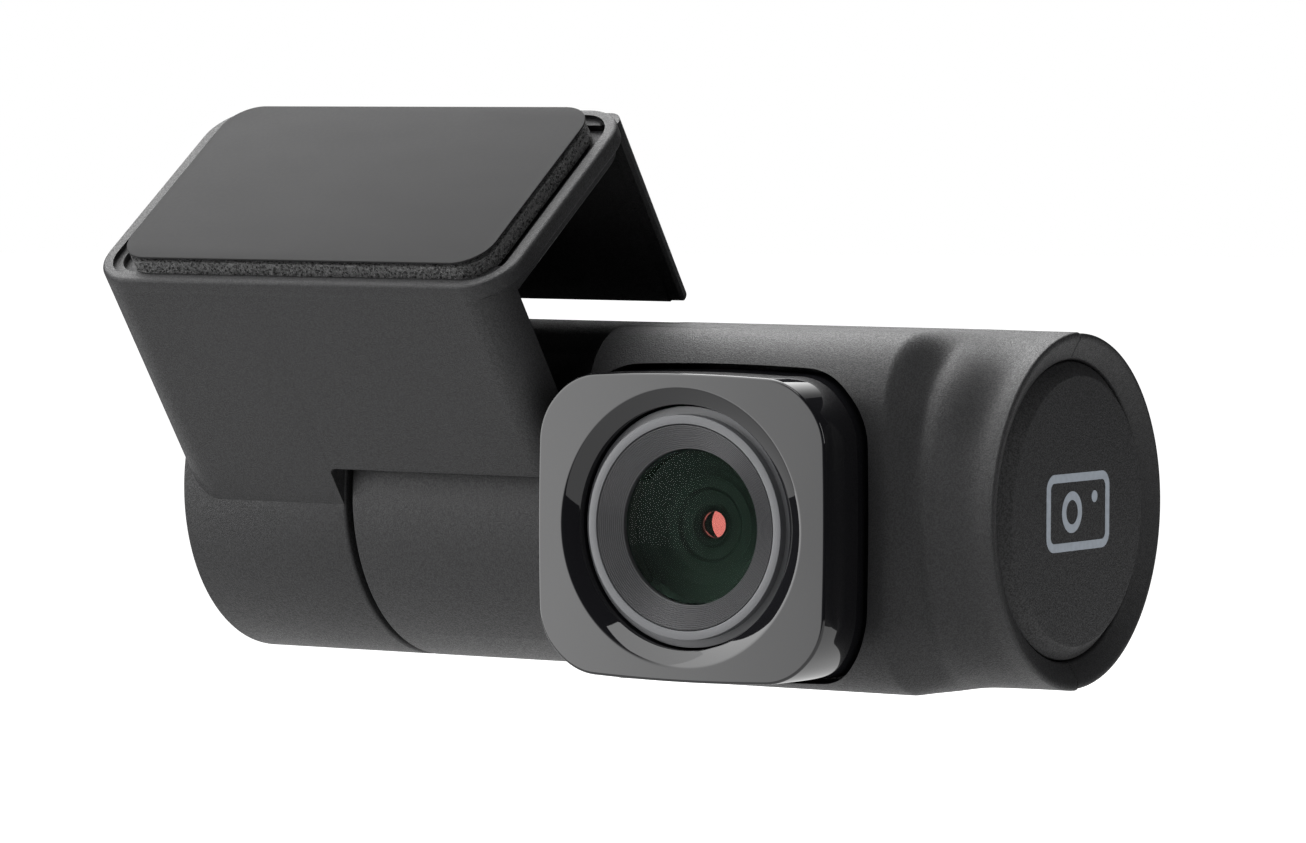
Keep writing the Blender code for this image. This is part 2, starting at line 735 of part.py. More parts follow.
def add_rods(bm, places, start, end, radius):
    for place in places:
        add_turned(bm, rod_profile(start, end, radius), "Y", place, SCREW_ROUND)


def add_post(bm, place, start, radius):
    """A post from start, along Y, whose far end follows the middle of the shell's wall."""
    middle = INNER_RADIUS + SHELL_WALL / 2
    near, far = [], []
    for k in range(SCREW_ROUND):
        angle = 2 * math.pi * k / SCREW_ROUND
        x = place[0] + radius * math.cos(angle)
        z = place[1] + radius * math.sin(angle)
        near.append(bm.verts.new((x, start, z)))
        far.append(bm.verts.new((x, math.copysign(math.sqrt(middle**2 - z**2), start), z)))
    tip = math.copysign(math.sqrt(middle**2 - place[1] ** 2), start)
    centre = bm.verts.new((place[0], tip, place[1]))
    for k in range(SCREW_ROUND):
        j = (k + 1) % SCREW_ROUND
        bm.faces.new((near[k], near[j], far[j], far[k]))
        bm.faces.new((far[k], far[j], centre))
    bm.faces.new(near)


def join_posts(shell, name, places, start, radius, frame):
    for number, place in enumerate(places, 1):
        bm = bmesh.new()
        add_post(bm, place, start, radius)
        boolean(shell, make_object(f"join_{name}_{number}", bm, frame), "UNION")


def build_front_shell(frame, material):
    bm = bmesh.new()
    add_half_shell(bm, shell_profile(boss=True), front=True)
    shell = make_object("front_shell", bm, frame, material)
    join_posts(shell, "front_post", post_places(), -2 * SEAT_GAP, POST_RADIUS - 0.3, frame)

    opening = bezel_outline(BEZEL_DRAFT + BEZEL_SEAM)
    bm = bmesh.new()
    add_plate(bm, opening, -BEZEL_FACE_TO_AXIS - OVERCUT, -BEZEL_BACK_TO_AXIS + SLIP_GAP, True)
    boolean(shell, make_object("cut_bezel_opening", bm, frame))

    bm = bmesh.new()
    pilot = SHELL_SCREW_RADIUS + THREAD_GAP
    add_rods(bm, post_places(), OVERCUT, -SHELL_SCREW_DEPTH - SEAT_GAP, pilot)
    boolean(shell, make_object("cut_screw_pilots", bm, frame))


def build_rear_shell(frame, material):
    bm = bmesh.new()
    add_half_shell(bm, shell_profile(boss=False), front=False)
    shell = make_object("rear_shell", bm, frame, material)
    board_back = MAIN_BOARD_TO_AXIS + MAIN_BOARD_THICKNESS
    join_posts(shell, "rear_post", post_places(), 2 * SEAT_GAP, POST_RADIUS, frame)
    top = board_back + SEAT_GAP
    join_posts(shell, "standoff", standoff_places(), top, STANDOFF_RADIUS, frame)

    clear = SHELL_SCREW_RADIUS + SLIP_GAP
    sink = SHELL_SCREW_HEAD_RADIUS + SLIP_GAP
    far = BARREL_RADIUS + OVERCUT
    stepped = [
        (-OVERCUT, 0.0),
        (-OVERCUT, clear),
        (SHELL_SCREW_SEAT_TO_AXIS, clear),
        (SHELL_SCREW_SEAT_TO_AXIS, sink),
        (far, sink),
        (far, 0.0),
    ]
    bm = bmesh.new()
    for place in post_places():
        add_turned(bm, stepped, "Y", place, SCREW_ROUND)
    deep = MAIN_BOARD_TO_AXIS + BOARD_SCREW_LENGTH
    add_rods(bm, standoff_places(), 0.0, deep, BOARD_SCREW_RADIUS + THREAD_GAP)
    boolean(shell, make_object("cut_screw_holes", bm, frame))

    half_x = SOCKET_WIDTH / 2 + SOCKET_MOUTH_CLEARANCE
    half_z = SOCKET_HEIGHT / 2 + SOCKET_MOUTH_CLEARANCE
    centre = BODY_LEFT + SOCKET_FROM_BODY_END
    bm = bmesh.new()
    corners = (SOCKET_MOUTH_CORNER, SOCKET_MOUTH_CORNER)
    outline = rounded_outline(centre - half_x, centre + half_x, -half_z, half_z, corners)
    add_plate(bm, outline, INNER_RADIUS - OVERCUT / 2, far, True)
    boolean(shell, make_object("cut_socket_mouth", bm, frame))


def build_end_cap(frame, material):
    face = BODY_RIGHT - SEAT_GAP / 2
    turned("end_cap", end_disc_profile(face, -1.0), frame, material)


def build_shell_screws(frame, material):
    seat = SHELL_SCREW_SEAT_TO_AXIS + SEAT_GAP
    top = seat + SHELL_SCREW_HEAD_HEIGHT
    for number, place in enumerate(post_places(), 1):
        profile = [
            (top, 0.0),
            (top, SHELL_SCREW_HEAD_RADIUS - SCREW_HEAD_EDGE),
            (top - SCREW_HEAD_EDGE, SHELL_SCREW_HEAD_RADIUS),
            (seat, SHELL_SCREW_HEAD_RADIUS),
            (seat, SHELL_SCREW_RADIUS),
            (-SHELL_SCREW_DEPTH + SCREW_TIP, SHELL_SCREW_RADIUS),
            (-SHELL_SCREW_DEPTH, SHELL_SCREW_RADIUS - SCREW_TIP),
            (-SHELL_SCREW_DEPTH, 0.0),
        ]
        turned(f"shell_screw_{number}", profile, frame, material, "Y", place, SCREW_ROUND)


# ---------------------------------------------------------------- lens surround and lens


def bezel_outline(offset=0.0):
    """The bezel's outline in (x, z): a rounded rectangle whose sides bow outwards."""
    half_x = BEZEL_HALF_WIDTH - BEZEL_BOW_X + offset
    half_z = BEZEL_HALF_HEIGHT - BEZEL_BOW_Z + offset
    corner = BEZEL_CORNER + offset
    flat = rounded_outline(-half_x, half_x, -half_z, half_z, (corner, corner))
    ring = []
    for start, end in zip(flat, flat[1:] + flat[:1]):
        ring.append(start)
        if math.dist(start, end) > corner:
            for k in range(1, 6):
                share = k / 6
                ring.append(tuple(a + (b - a) * share for a, b in zip(start, end)))
    points = []
    for x, z in ring:
        across = max(0.0, 1 - (z / (half_z - corner * 0.3)) ** 2)
        along = max(0.0, 1 - (x / (half_x - corner * 0.3)) ** 2)
        x += math.copysign(BEZEL_BOW_X * across, x) if abs(x) > half_x - corner * 0.5 else 0.0
        z += math.copysign(BEZEL_BOW_Z * along, z) if abs(z) > half_z - corner * 0.5 else 0.0
        points.append((LENS_X + x, LENS_Z + z))
    return points


def build_bezel(frame, material):
    face, back = -BEZEL_FACE_TO_AXIS, -BEZEL_BACK_TO_AXIS
    rings = []
    for y, offset in (
        (face, -BEZEL_EDGE),
        (face + BEZEL_EDGE * 0.3, -BEZEL_EDGE * 0.3),
        (face + BEZEL_EDGE, 0.0),
        (back, BEZEL_DRAFT),
    ):
        rings.append([(x, y, z) for x, z in bezel_outline(offset)])
    bm = bmesh.new()
    add_loft(bm, rings)
    bezel = make_object("lens_bezel", bm, frame, material)

    bm = bmesh.new()
    add_plate(bm, bezel_outline(-BEZEL_WALL), face + BEZEL_PLATE, back + OVERCUT, True)
    boolean(bezel, make_object("cut_bezel_hollow", bm, frame))
    slope = (FUNNEL_RADIUS - MOUTH_RADIUS) / FUNNEL_DEPTH
    mouth = [
        (face - 1.0, 0.0),
        (face - 1.0, FUNNEL_RADIUS + slope),
        (face + FUNNEL_DEPTH, MOUTH_RADIUS),
        (face + BEZEL_PLATE + 1.0, MOUTH_RADIUS),
        (face + BEZEL_PLATE + 1.0, 0.0),
    ]
    boolean(bezel, turned("cut_bezel_mouth", mouth, frame, None, "Y", (LENS_X, LENS_Z)))


def build_lens(frame, materials):
    centre = (LENS_X, LENS_Z)
    ring_flange = TRIM_FACE_Y + TRIM_GROOVE_DEPTH
    ring_back = ring_flange + TRIM_FLANGE_THICKNESS
    hole_front = TRIM_FACE_Y + TRIM_CONE_DEPTH
    flange_radius = MOUTH_RADIUS - SLIP_GAP
    trim = [
        (TRIM_FACE_Y, TRIM_FACE_INNER_RADIUS),
        (TRIM_FACE_Y, TRIM_FACE_OUTER_RADIUS),
        (ring_flange, TRIM_FACE_OUTER_RADIUS),
        (ring_flange, flange_radius),
        (ring_back, flange_radius),
        (ring_back, BARREL_HEAD_RADIUS + SLIP_GAP),
        (hole_front + TRIM_HOLE_LAND, TRIM_HOLE_RADIUS),
        (hole_front, TRIM_HOLE_RADIUS),
    ]
    turned("lens_trim_ring", trim, frame, materials["ring"], "Y", centre)

    head_front = ring_back + SEAT_GAP
    head_back = head_front + BARREL_HEAD_LENGTH
    barrel_back = head_back + LENS_THREAD_LENGTH
    seat_front = head_front + FRONT_SEAT_DEPTH
    seat_middle = seat_front + MIDDLE_SEAT_DEPTH
    front_bore = FRONT_LENS_RADIUS + SLIP_GAP
    middle_bore = MIDDLE_LENS_RADIUS + SLIP_GAP
    rear_bore = REAR_LENS_RADIUS + SLIP_GAP
    barrel = [
        (head_front, front_bore),
        (head_front, BARREL_HEAD_RADIUS),
        (head_back, BARREL_HEAD_RADIUS),
        (head_back, LENS_THREAD_RADIUS),
        (barrel_back, LENS_THREAD_RADIUS),
        (barrel_back, rear_bore),
        (seat_middle, rear_bore),
        (seat_middle, middle_bore),
        (seat_front, middle_bore),
        (seat_front, front_bore),
    ]
    turned("lens_barrel", barrel, frame, materials["black"], "Y", centre, INNER_ROUND)

    edge_front = hole_front + SEAT_GAP
    edge_back = seat_front - SEAT_GAP
    dome = dome_points(edge_front, FRONT_LENS_RADIUS, -LENS_DOME)
    cup = dome_points(edge_back, MIDDLE_LENS_RADIUS, -LENS_DOME)
    front = [*dome, (edge_back, FRONT_LENS_RADIUS), *reversed(cup)]
    turned("front_lens", front, frame, materials["glass"], "Y", centre, 48)

    spacer_front = seat_front + SEAT_GAP
    spacer_back = spacer_front + SPACER_LENGTH
    spacer = [
        (spacer_front, MIDDLE_LENS_RADIUS - SPACER_WALL),
        (spacer_front, MIDDLE_LENS_RADIUS),
        (spacer_back, MIDDLE_LENS_RADIUS),
        (spacer_back, MIDDLE_LENS_RADIUS - SPACER_WALL),
    ]
    turned("lens_spacer", spacer, frame, materials["black"], "Y", centre, INNER_ROUND)

    middle_front = spacer_back + SEAT_GAP
    middle_back = seat_middle - SEAT_GAP
    edge = (middle_back - middle_front - LENS_DOME) * 0.5
    front_face = dome_points(middle_front + edge, MIDDLE_LENS_RADIUS, -LENS_DOME)
    rear_face = dome_points(middle_back, MIDDLE_LENS_RADIUS, 0.0)
    middle = [*front_face, *reversed(rear_face)]
    turned("middle_lens", middle, frame, materials["glass"], "Y", centre, INNER_ROUND)

    rear_front = seat_middle + REAR_LENS_RECESS
    rear_back = rear_front + REAR_LENS_THICKNESS
    rear = [
        *dome_points(rear_front + REAR_LENS_FRONT_DOME, REAR_LENS_RADIUS, -REAR_LENS_FRONT_DOME),
        *reversed(dome_points(rear_back, REAR_LENS_RADIUS, REAR_LENS_BACK_DOME)),
    ]
    turned("rear_lens", rear, frame, materials["glass"], "Y", centre, INNER_ROUND)

    keeper_front = rear_back + REAR_LENS_BACK_DOME + SEAT_GAP
    keeper_back = keeper_front + RETAINER_LENGTH
    keeper = [
        (keeper_front, REAR_LENS_RADIUS - RETAINER_WALL),
        (keeper_front, REAR_LENS_RADIUS),
        (keeper_back, REAR_LENS_RADIUS),
        (keeper_back, REAR_LENS_RADIUS - RETAINER_WALL),
    ]
    turned("lens_retainer", keeper, frame, materials["black"], "Y", centre, INNER_ROUND)
    return barrel_back


def dome_points(edge, radius, height, steps=4):
    """Lens surface profile from the axis to its edge; height is the apex's offset along Y."""
    points = []
    for k in range(steps + 1):
        share = k / steps
        points.append((edge + height * (1 - share * share), radius * share))
    return points


# ---------------------------------------------------------------- electronics


def board_outline(centre_x, half_x, centre_z, half_z):
    return rounded_outline(
        centre_x - half_x,
        centre_x + half_x,
        centre_z - half_z,
        centre_z + half_z,
        (BOARD_CORNER, BOARD_CORNER),
    )


def build_lens_holder(frame, material, barrel_back):
    """Square base on the sensor board with a threaded tube round the lens barrel."""
    board_front = -SENSOR_BOARD_TO_AXIS
    base_back = board_front - SEAT_GAP
    base_front = base_back - HOLDER_BASE
    half = HOLDER_SIDE / 2
    bm = bmesh.new()
    outline = board_outline(LENS_X, half, LENS_Z, half)
    add_plate(bm, outline, base_front, base_back, True)
    holder = make_object("lens_holder", bm, frame, material)
    stop = barrel_back + SEAT_GAP
    cavity = half - HOLDER_WALL
    boolean(
        holder,
        box(
            "cut_holder_cavity",
            (LENS_X - cavity, stop, LENS_Z - cavity),
            (LENS_X + cavity, base_back + SHORT_OVERCUT, LENS_Z + cavity),
            frame,
        ),
    )
    bore = LENS_THREAD_RADIUS + SLIP_GAP
    tube_front = base_front - HOLDER_TUBE_LENGTH
    tube = rod_profile(base_front + HOLDER_BASE / 6, tube_front, bore + HOLDER_TUBE_WALL)
    centre = (LENS_X, LENS_Z)
    boolean(holder, turned("join_holder_tube", tube, frame, None, "Y", centre, INNER_ROUND), "UNION")
    hole = rod_profile(tube_front - SHORT_OVERCUT, stop + SHORT_OVERCUT, bore)
    boolean(holder, turned("cut_holder_bore", hole, frame, None, "Y", centre, INNER_ROUND))


def build_sensor(frame, materials):
    """Sensor board with the image sensor on it and the infrared filter over the sensor."""
    front = -SENSOR_BOARD_TO_AXIS
    back = front + SENSOR_BOARD_THICKNESS
    half = SENSOR_BOARD_SIDE / 2
    bm = bmesh.new()
    outline = board_outline(LENS_X, half, LENS_Z, half)
    add_plate(bm, outline, front, back, True)
    make_object("sensor_board", bm, frame, materials["board"])
    chip_back = front - SEAT_GAP
    chip_front = chip_back - SENSOR_THICKNESS
    half_x, half_z = SENSOR_HALF_SIZE
    box(
        "image_sensor",
        (LENS_X - half_x, chip_front, LENS_Z - half_z),
        (LENS_X + half_x, chip_back, LENS_Z + half_z),
        frame,
        materials["chip"],
    )
    filter_back = chip_front - SEAT_GAP
    half_x, half_z = FILTER_HALF_SIZE
    box(
        "ir_filter",
        (LENS_X - half_x, filter_back - FILTER_THICKNESS, LENS_Z - half_z),
        (LENS_X + half_x, filter_back, LENS_Z + half_z),
        frame,
        materials["glass"],
    )
    link_front = back + SEAT_GAP
    link_back = MAIN_BOARD_TO_AXIS - SEAT_GAP
    box(
        "board_connector",
        (LENS_X + CONNECTOR_SPAN[0], link_front, LENS_Z - CONNECTOR_HALF_HEIGHT),
        (LENS_X + CONNECTOR_SPAN[1], link_back, LENS_Z + CONNECTOR_HALF_HEIGHT),
        frame,
        materials["connector"],
    )


def build_main_board(frame, materials):
    low = BODY_LEFT + MAIN_BOARD_FROM_BODY_END
    high = low + MAIN_BOARD_LENGTH
    half = MAIN_BOARD_HEIGHT / 2
    front = MAIN_BOARD_TO_AXIS
    back = front + MAIN_BOARD_THICKNESS
    bm = bmesh.new()
    outline = board_outline((low + high) / 2, MAIN_BOARD_LENGTH / 2, 0.0, half)
    add_plate(bm, outline, front, back, True)
    board = make_object("main_board", bm, frame, materials["board"])
    bm = bmesh.new()
    hole = BOARD_SCREW_RADIUS + SLIP_GAP
    add_rods(bm, standoff_places(), front - SHORT_OVERCUT, back + SHORT_OVERCUT, hole)
    boolean(board, make_object("cut_board_holes", bm, frame))

    for number, place in enumerate(standoff_places(), 1):
        seat = front - SEAT_GAP
        tip = seat + BOARD_SCREW_LENGTH - SEAT_GAP
        profile = [
            (seat - BOARD_SCREW_HEAD_HEIGHT, 0.0),
            (seat - BOARD_SCREW_HEAD_HEIGHT, BOARD_SCREW_HEAD_RADIUS),
            (seat, BOARD_SCREW_HEAD_RADIUS),
            (seat, BOARD_SCREW_RADIUS),
            (tip, BOARD_SCREW_RADIUS),
            (tip, 0.0),
        ]
        turned(f"board_screw_{number}", profile, frame, materials["steel"], "Y", place, SCREW_ROUND)

    chip_low = back + SEAT_GAP
    chip_high = chip_low + PROCESSOR_THICKNESS
    chip_x = LENS_X - PROCESSOR_FROM_LENS
    box(
        "image_processor",
        (chip_x - PROCESSOR_HALF_SIDE, chip_low, PROCESSOR_RISE - PROCESSOR_HALF_SIDE),
        (chip_x + PROCESSOR_HALF_SIDE, chip_high, PROCESSOR_RISE + PROCESSOR_HALF_SIDE),
        frame,
        materials["chip"],
    )
    memory_x = chip_x + MEMORY_FROM_PROCESSOR
    half_x, half_z = MEMORY_HALF_SIZE
    box(
        "memory_chip",
        (memory_x - half_x, chip_low, -half_z),
        (memory_x + half_x, chip_low + MEMORY_THICKNESS, half_z),
        frame,
        materials["chip"],
    )
    build_heat_sink(frame, materials["aluminium"], chip_x, chip_high + SEAT_GAP)

    radius = CAPACITOR_RADIUS
    centre = (front - SEAT_GAP - radius, 0.0)
    start = low + CAPACITOR_FROM_BOARD_END
    profile = [
        (start, 0.0),
        (start, radius - CAPACITOR_EDGE),
        (start + CAPACITOR_EDGE, radius),
        (start + CAPACITOR_LENGTH - CAPACITOR_EDGE, radius),
        (start + CAPACITOR_LENGTH, radius - CAPACITOR_EDGE),
        (start + CAPACITOR_LENGTH, 0.0),
    ]
    turned("storage_capacitor", profile, frame, materials["sleeve"], "X", centre, INNER_ROUND)


def build_heat_sink(frame, material, middle, low):
    """Finned block on the processor: a comb outline run along Z."""
    base, tall = low + SINK_BASE, low + SINK_HEIGHT
    pitch = FIN_THICKNESS + FIN_GAP
    length = FIN_COUNT * pitch - FIN_GAP
    left = middle - length / 2
    outline = [(left, low), (left + length, low)]
    for k in reversed(range(FIN_COUNT)):
        start = left + k * pitch
        outline += [(start + FIN_THICKNESS, tall), (start, tall)]
        if k:
            outline += [(start, base), (start - FIN_GAP, base)]
    bm = bmesh.new()
    add_loft(bm, [[(x, y, z) for x, y in outline] for z in SINK_SPAN])
    make_object("heat_sink", bm, frame, material)


def build_socket(frame, materials):
    """Supply and video socket behind the body: a thin metal sleeve round an insulating tongue."""
    centre = BODY_LEFT + SOCKET_FROM_BODY_END
    half_x, half_z = SOCKET_WIDTH / 2, SOCKET_HEIGHT / 2
    low = MAIN_BOARD_TO_AXIS + MAIN_BOARD_THICKNESS + SEAT_GAP
    mouth = BARREL_RADIUS - SOCKET_INSET
    floor = low + SOCKET_FLOOR
    bm = bmesh.new()
    corners = (SOCKET_CORNER, SOCKET_CORNER)
    outline = rounded_outline(centre - half_x, centre + half_x, -half_z, half_z, corners)
    add_plate(bm, outline, low, mouth, True)
    sleeve = make_object("socket_sleeve", bm, frame, materials["steel"])
    half_x -= SOCKET_WALL
    half_z -= SOCKET_WALL
    corner = SOCKET_CORNER - SOCKET_WALL
    bm = bmesh.new()
    outline = rounded_outline(centre - half_x, centre + half_x, -half_z, half_z, (corner, corner))
    add_plate(bm, outline, floor, mouth + OVERCUT, True)
    boolean(sleeve, make_object("cut_socket_bore", bm, frame))
    box(
        "socket_tongue",
        (centre - TONGUE_HALF_WIDTH, floor + SEAT_GAP, -TONGUE_HALF_THICKNESS),
        (centre + TONGUE_HALF_WIDTH, mouth - TONGUE_INSET, TONGUE_HALF_THICKNESS),
        frame,
        materials["connector"],
    )


# ---------------------------------------------------------------- the whole object


def make_materials():
    return {
        "shell": make_material("matte_black_plastic", (0.045, 0.045, 0.047), 0.55),
        "film": make_material("release_film", (0.15, 0.15, 0.152), 0.5),
        "foam": make_material("foam", (0.03, 0.03, 0.03), 0.95),
        "fibre": make_material("fibre", (0.32, 0.24, 0.16), 0.8),
        "steel": make_material("steel", (0.6, 0.6, 0.62), 0.3, 1.0),
        "gloss": make_material("gloss_black_plastic", (0.012, 0.012, 0.014), 0.05),
        "ring": make_material("lens_ring", (0.3, 0.31, 0.33), 0.4, 0.6),
        "black": make_material("black_anodised", (0.01, 0.01, 0.011), 0.5, 0.5),
        "glass": make_material("lens_glass", (0.02, 0.03, 0.025), 0.02),
        "board": make_material("circuit_board", (0.02, 0.12, 0.05), 0.5),
        "chip": make_material("chip", (0.02, 0.02, 0.022), 0.6),
        "connector": make_material("connector_plastic", (0.7, 0.68, 0.6), 0.5),
        "aluminium": make_material("aluminium", (0.7, 0.7, 0.72), 0.35, 1.0),
        "sleeve": make_material("capacitor_sleeve", (0.03, 0.05, 0.12), 0.35),
    }


def main():
    clear_scene()
    materials = make_materials()
    tilt = math.radians(MOUNT_TILT_DEG)
    axis = (
        0.0,
        PAD_FACE_TO_AXIS * math.sin(tilt) * MM,
        -PAD_FACE_TO_AXIS * math.cos(tilt) * MM,
    )
    bracket_frame = make_empty("bracket_frame", axis, tilt)
    body_frame = make_empty("body_frame", axis)

    build_pad(bracket_frame, materials["film"], materials["foam"])
    build_bracket(bracket_frame, materials["shell"])
    build_cup_disc(bracket_frame, materials["shell"])
    build_hinge(bracket_frame, body_frame, materials)

    build_front_shell(body_frame, materials["shell"])
    build_rear_shell(body_frame, materials["shell"])
    build_end_cap(body_frame, materials["shell"])
    build_shell_screws(body_frame, materials["steel"])
    build_bezel(body_frame, materials["gloss"])
    barrel_back = build_lens(body_frame, materials)
    build_lens_holder(body_frame, materials["black"], barrel_back)
    build_sensor(body_frame, materials)
    build_main_board(body_frame, materials)
    build_socket(body_frame, materials)


main()
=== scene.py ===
"""Dash camera: the visible shells, lens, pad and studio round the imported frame.

Works in millimetres and makes every mesh in metres. Pieces of the tilting camera are laid out
from the hinge axis, with X along the barrel. Pieces of the bracket are laid out from the same
axis, with Y up the pad's slope and Z along its normal.
"""

import json
import math

import bmesh
import bpy
from mathutils import Matrix, Vector, noise


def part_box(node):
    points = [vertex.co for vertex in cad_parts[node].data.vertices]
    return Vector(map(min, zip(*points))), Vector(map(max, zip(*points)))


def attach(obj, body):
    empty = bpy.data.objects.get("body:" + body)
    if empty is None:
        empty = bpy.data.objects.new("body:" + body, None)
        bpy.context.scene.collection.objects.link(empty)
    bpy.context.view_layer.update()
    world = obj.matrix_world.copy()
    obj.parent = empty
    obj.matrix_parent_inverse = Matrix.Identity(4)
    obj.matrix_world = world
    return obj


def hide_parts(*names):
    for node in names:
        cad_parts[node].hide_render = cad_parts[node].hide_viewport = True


bl_info = {
    "name": "Dash Camera",
    "version": (1, 0, 0),
    "blender": (4, 5, 0),
    "location": "3D View > Sidebar > Dash Camera",
    "description": "Builds the looks of a barrel-shaped dash camera round its packed frame",
    "category": "Object",
}

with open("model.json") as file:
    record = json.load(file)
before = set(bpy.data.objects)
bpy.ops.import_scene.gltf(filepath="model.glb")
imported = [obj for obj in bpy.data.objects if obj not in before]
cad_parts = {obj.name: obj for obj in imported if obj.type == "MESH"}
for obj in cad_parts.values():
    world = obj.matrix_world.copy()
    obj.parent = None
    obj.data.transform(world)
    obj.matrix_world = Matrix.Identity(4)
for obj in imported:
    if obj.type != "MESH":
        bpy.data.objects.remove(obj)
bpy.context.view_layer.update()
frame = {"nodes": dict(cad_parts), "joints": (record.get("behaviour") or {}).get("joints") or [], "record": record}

MM = 0.001


def span(node, axis):
    """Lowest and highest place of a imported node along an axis, in millimetres."""
    low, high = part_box(node)
    return low[axis] / MM, high[axis] / MM


def middle(node, axis):
    low, high = span(node, axis)
    return (low + high) / 2


HINGE = next(joint for joint in frame["joints"] if joint["name"] == "camera_tilt")
AXIS_Y, AXIS_Z = HINGE["pos_m"][1] / MM, HINGE["pos_m"][2] / MM
PAD_NORMAL = frame["record"]["mounts"][0]["axis"]
TILT = math.atan2(-PAD_NORMAL[1], PAD_NORMAL[2])
BARREL = Matrix.Translation((0.0, AXIS_Y * MM, AXIS_Z * MM))
BRACKET = BARREL @ Matrix.Rotation(TILT, 4, "X")

BODY_LEFT, BODY_RIGHT = span("rear_shell", 0)
BARREL_RADIUS = (span("rear_shell", 2)[1] - span("rear_shell", 2)[0]) / 2
BOSS_HALF_HEIGHT = (span("front_shell", 2)[1] - span("front_shell", 2)[0]) / 2
BOSS_FACE = AXIS_Y - span("front_shell", 1)[0]
RIM_LEFT, RIM_RIGHT = span("bracket_shell", 0)
PAD_LEFT, PAD_RIGHT = span("release_film", 0)
PAD_X = (PAD_LEFT + PAD_RIGHT) / 2
LENS_X = middle("lens_trim_ring", 0)
LENS_Z = middle("lens_trim_ring", 2) - AXIS_Z
BEZEL_LEFT, BEZEL_RIGHT = span("lens_bezel", 0)
BEZEL_HALF_WIDTH = (BEZEL_RIGHT - BEZEL_LEFT) / 2
BEZEL_LOW, BEZEL_HIGH = span("lens_bezel", 2)
BEZEL_FACE = span("lens_bezel", 1)[0] - AXIS_Y
BEZEL_BACK = span("lens_bezel", 1)[1] - AXIS_Y
TRIM_FACE = span("lens_trim_ring", 1)[0] - AXIS_Y
GLASS_FACE = span("front_lens", 1)[0] - AXIS_Y

FINE_ROUND = 192  # sides of a large turned piece
CORNER_STEPS = 16
CORNER_SHARE = 0.45  # most of a side that one rounded corner may take
OVERCUT = 4.0
TINY = 1e-6
WELD = 1e-5  # points closer together than this are joined
SHARP_ANGLE = math.radians(32)


# ---------------------------------------------------------------- settings


def length_setting(name, description, millimetres):
    return bpy.props.FloatProperty(
        name=name, description=description, default=millimetres * MM, unit="LENGTH"
    )


def colour_setting(name, description, default):
    return bpy.props.FloatVectorProperty(
        name=name, description=description, size=3, default=default, subtype="COLOR"
    )


def strength_setting(name, description, default):
    return bpy.props.FloatProperty(name=name, description=description, default=default)


class BracketSettings(bpy.types.PropertyGroup):
    """Sizes of the windscreen bracket and its adhesive pad."""

    pad_width: length_setting("Pad width", "Pad size up its slope", 18.6)
    pad_corner: length_setting("Pad corner", "Radius of the pad's corners", 2.6)
    wall: length_setting("Wall", "Thickness of the bracket's walls", 1.5)
    rim_corner: length_setting("Rim corner", "Radius of the rim's corners", 3.5)
    edge: length_setting("Edge", "Rounding of the moulded edges", 0.22)


class BarrelSettings(bpy.types.PropertyGroup):
    """Sizes of the camera's barrel."""

    wall: length_setting("Wall", "Thickness of the shells", 1.5)
    seam: length_setting("Seam", "Gap between the half shells", 0.26)
    bezel_seam: length_setting("Bezel seam", "Gap round the bezel", 0.35)
    ridge: length_setting("Ridge", "Height of the ridge across the flare", 0.1)


class FinishSettings(bpy.types.PropertyGroup):
    """Colours and grain of the finishes."""

    plastic: colour_setting("Plastic", "Colour of the matte shells", (0.021, 0.021, 0.0218))
    gloss: colour_setting("Gloss", "Colour of the glossy bezel", (0.006, 0.006, 0.007))
    ring: colour_setting("Ring", "Colour of the satin lens ring", (0.11, 0.112, 0.118))
    film: colour_setting("Film", "Colour of the pad's release film", (0.023, 0.023, 0.0234))
    mark: colour_setting("Mark", "Colour of the printed mark", (0.36, 0.4, 0.45))
    grain: length_setting("Grain", "Size of the moulded grain", 0.1)


class StudioSettings(bpy.types.PropertyGroup):
    """The floor and the lights."""

    floor_drop: length_setting("Floor drop", "Floor below the barrel", 60)
    side_light: strength_setting("Side light", "Strength of the light panel at the left", 5.0)
    top_light: strength_setting("Top light", "Strength of the light panel overhead", 7.0)
    lower_light: strength_setting("Lower light", "Strength of the card below", 1.05)


# ---------------------------------------------------------------- mesh helpers


def loft(bm, rings, cyclic=False):
    """A skin through rings of the same count, with flat ends or joined end to end."""
    loops = [[bm.verts.new(point) for point in ring] for ring in rings]
    count = len(loops[0])
    pairs = list(zip(loops, loops[1:]))
    if cyclic:
        pairs.append((loops[-1], loops[0]))
    for near, far in pairs:
        for i in range(count):
            j = (i + 1) % count
            bm.faces.new((near[i], near[j], far[j], far[i]))
    if not cyclic:
        bm.faces.new(loops[0][::-1])
        bm.faces.new(loops[-1])


def turn(bm, profile, axis, centre=(0.0, 0.0), sides=FINE_ROUND):
    """Turns a closed profile of (along, radius) about an axis parallel to X or Y."""
    rings = []
    for along, radius in profile:
        ring = []
        for k in range(sides if radius > TINY else 1):
            angle = 2 * math.pi * k / sides
            across, up = radius * math.cos(angle), radius * math.sin(angle)
            place = (along, centre[0] + across, centre[1] + up)
            if axis == "Y":
                place = (centre[0] + across, along, centre[1] + up)
            ring.append(bm.verts.new(place))
        rings.append(ring)
    for near, far in zip(rings, rings[1:] + rings[:1]):
        if len(near) == 1 and len(far) == 1:
            continue
        for k in range(sides):
            j = (k + 1) % sides
            corners = [near[k % len(near)], near[j % len(near)]]
            corners += [far[j % len(far)], far[k % len(far)]]
            bm.faces.new(list(dict.fromkeys(corners)))


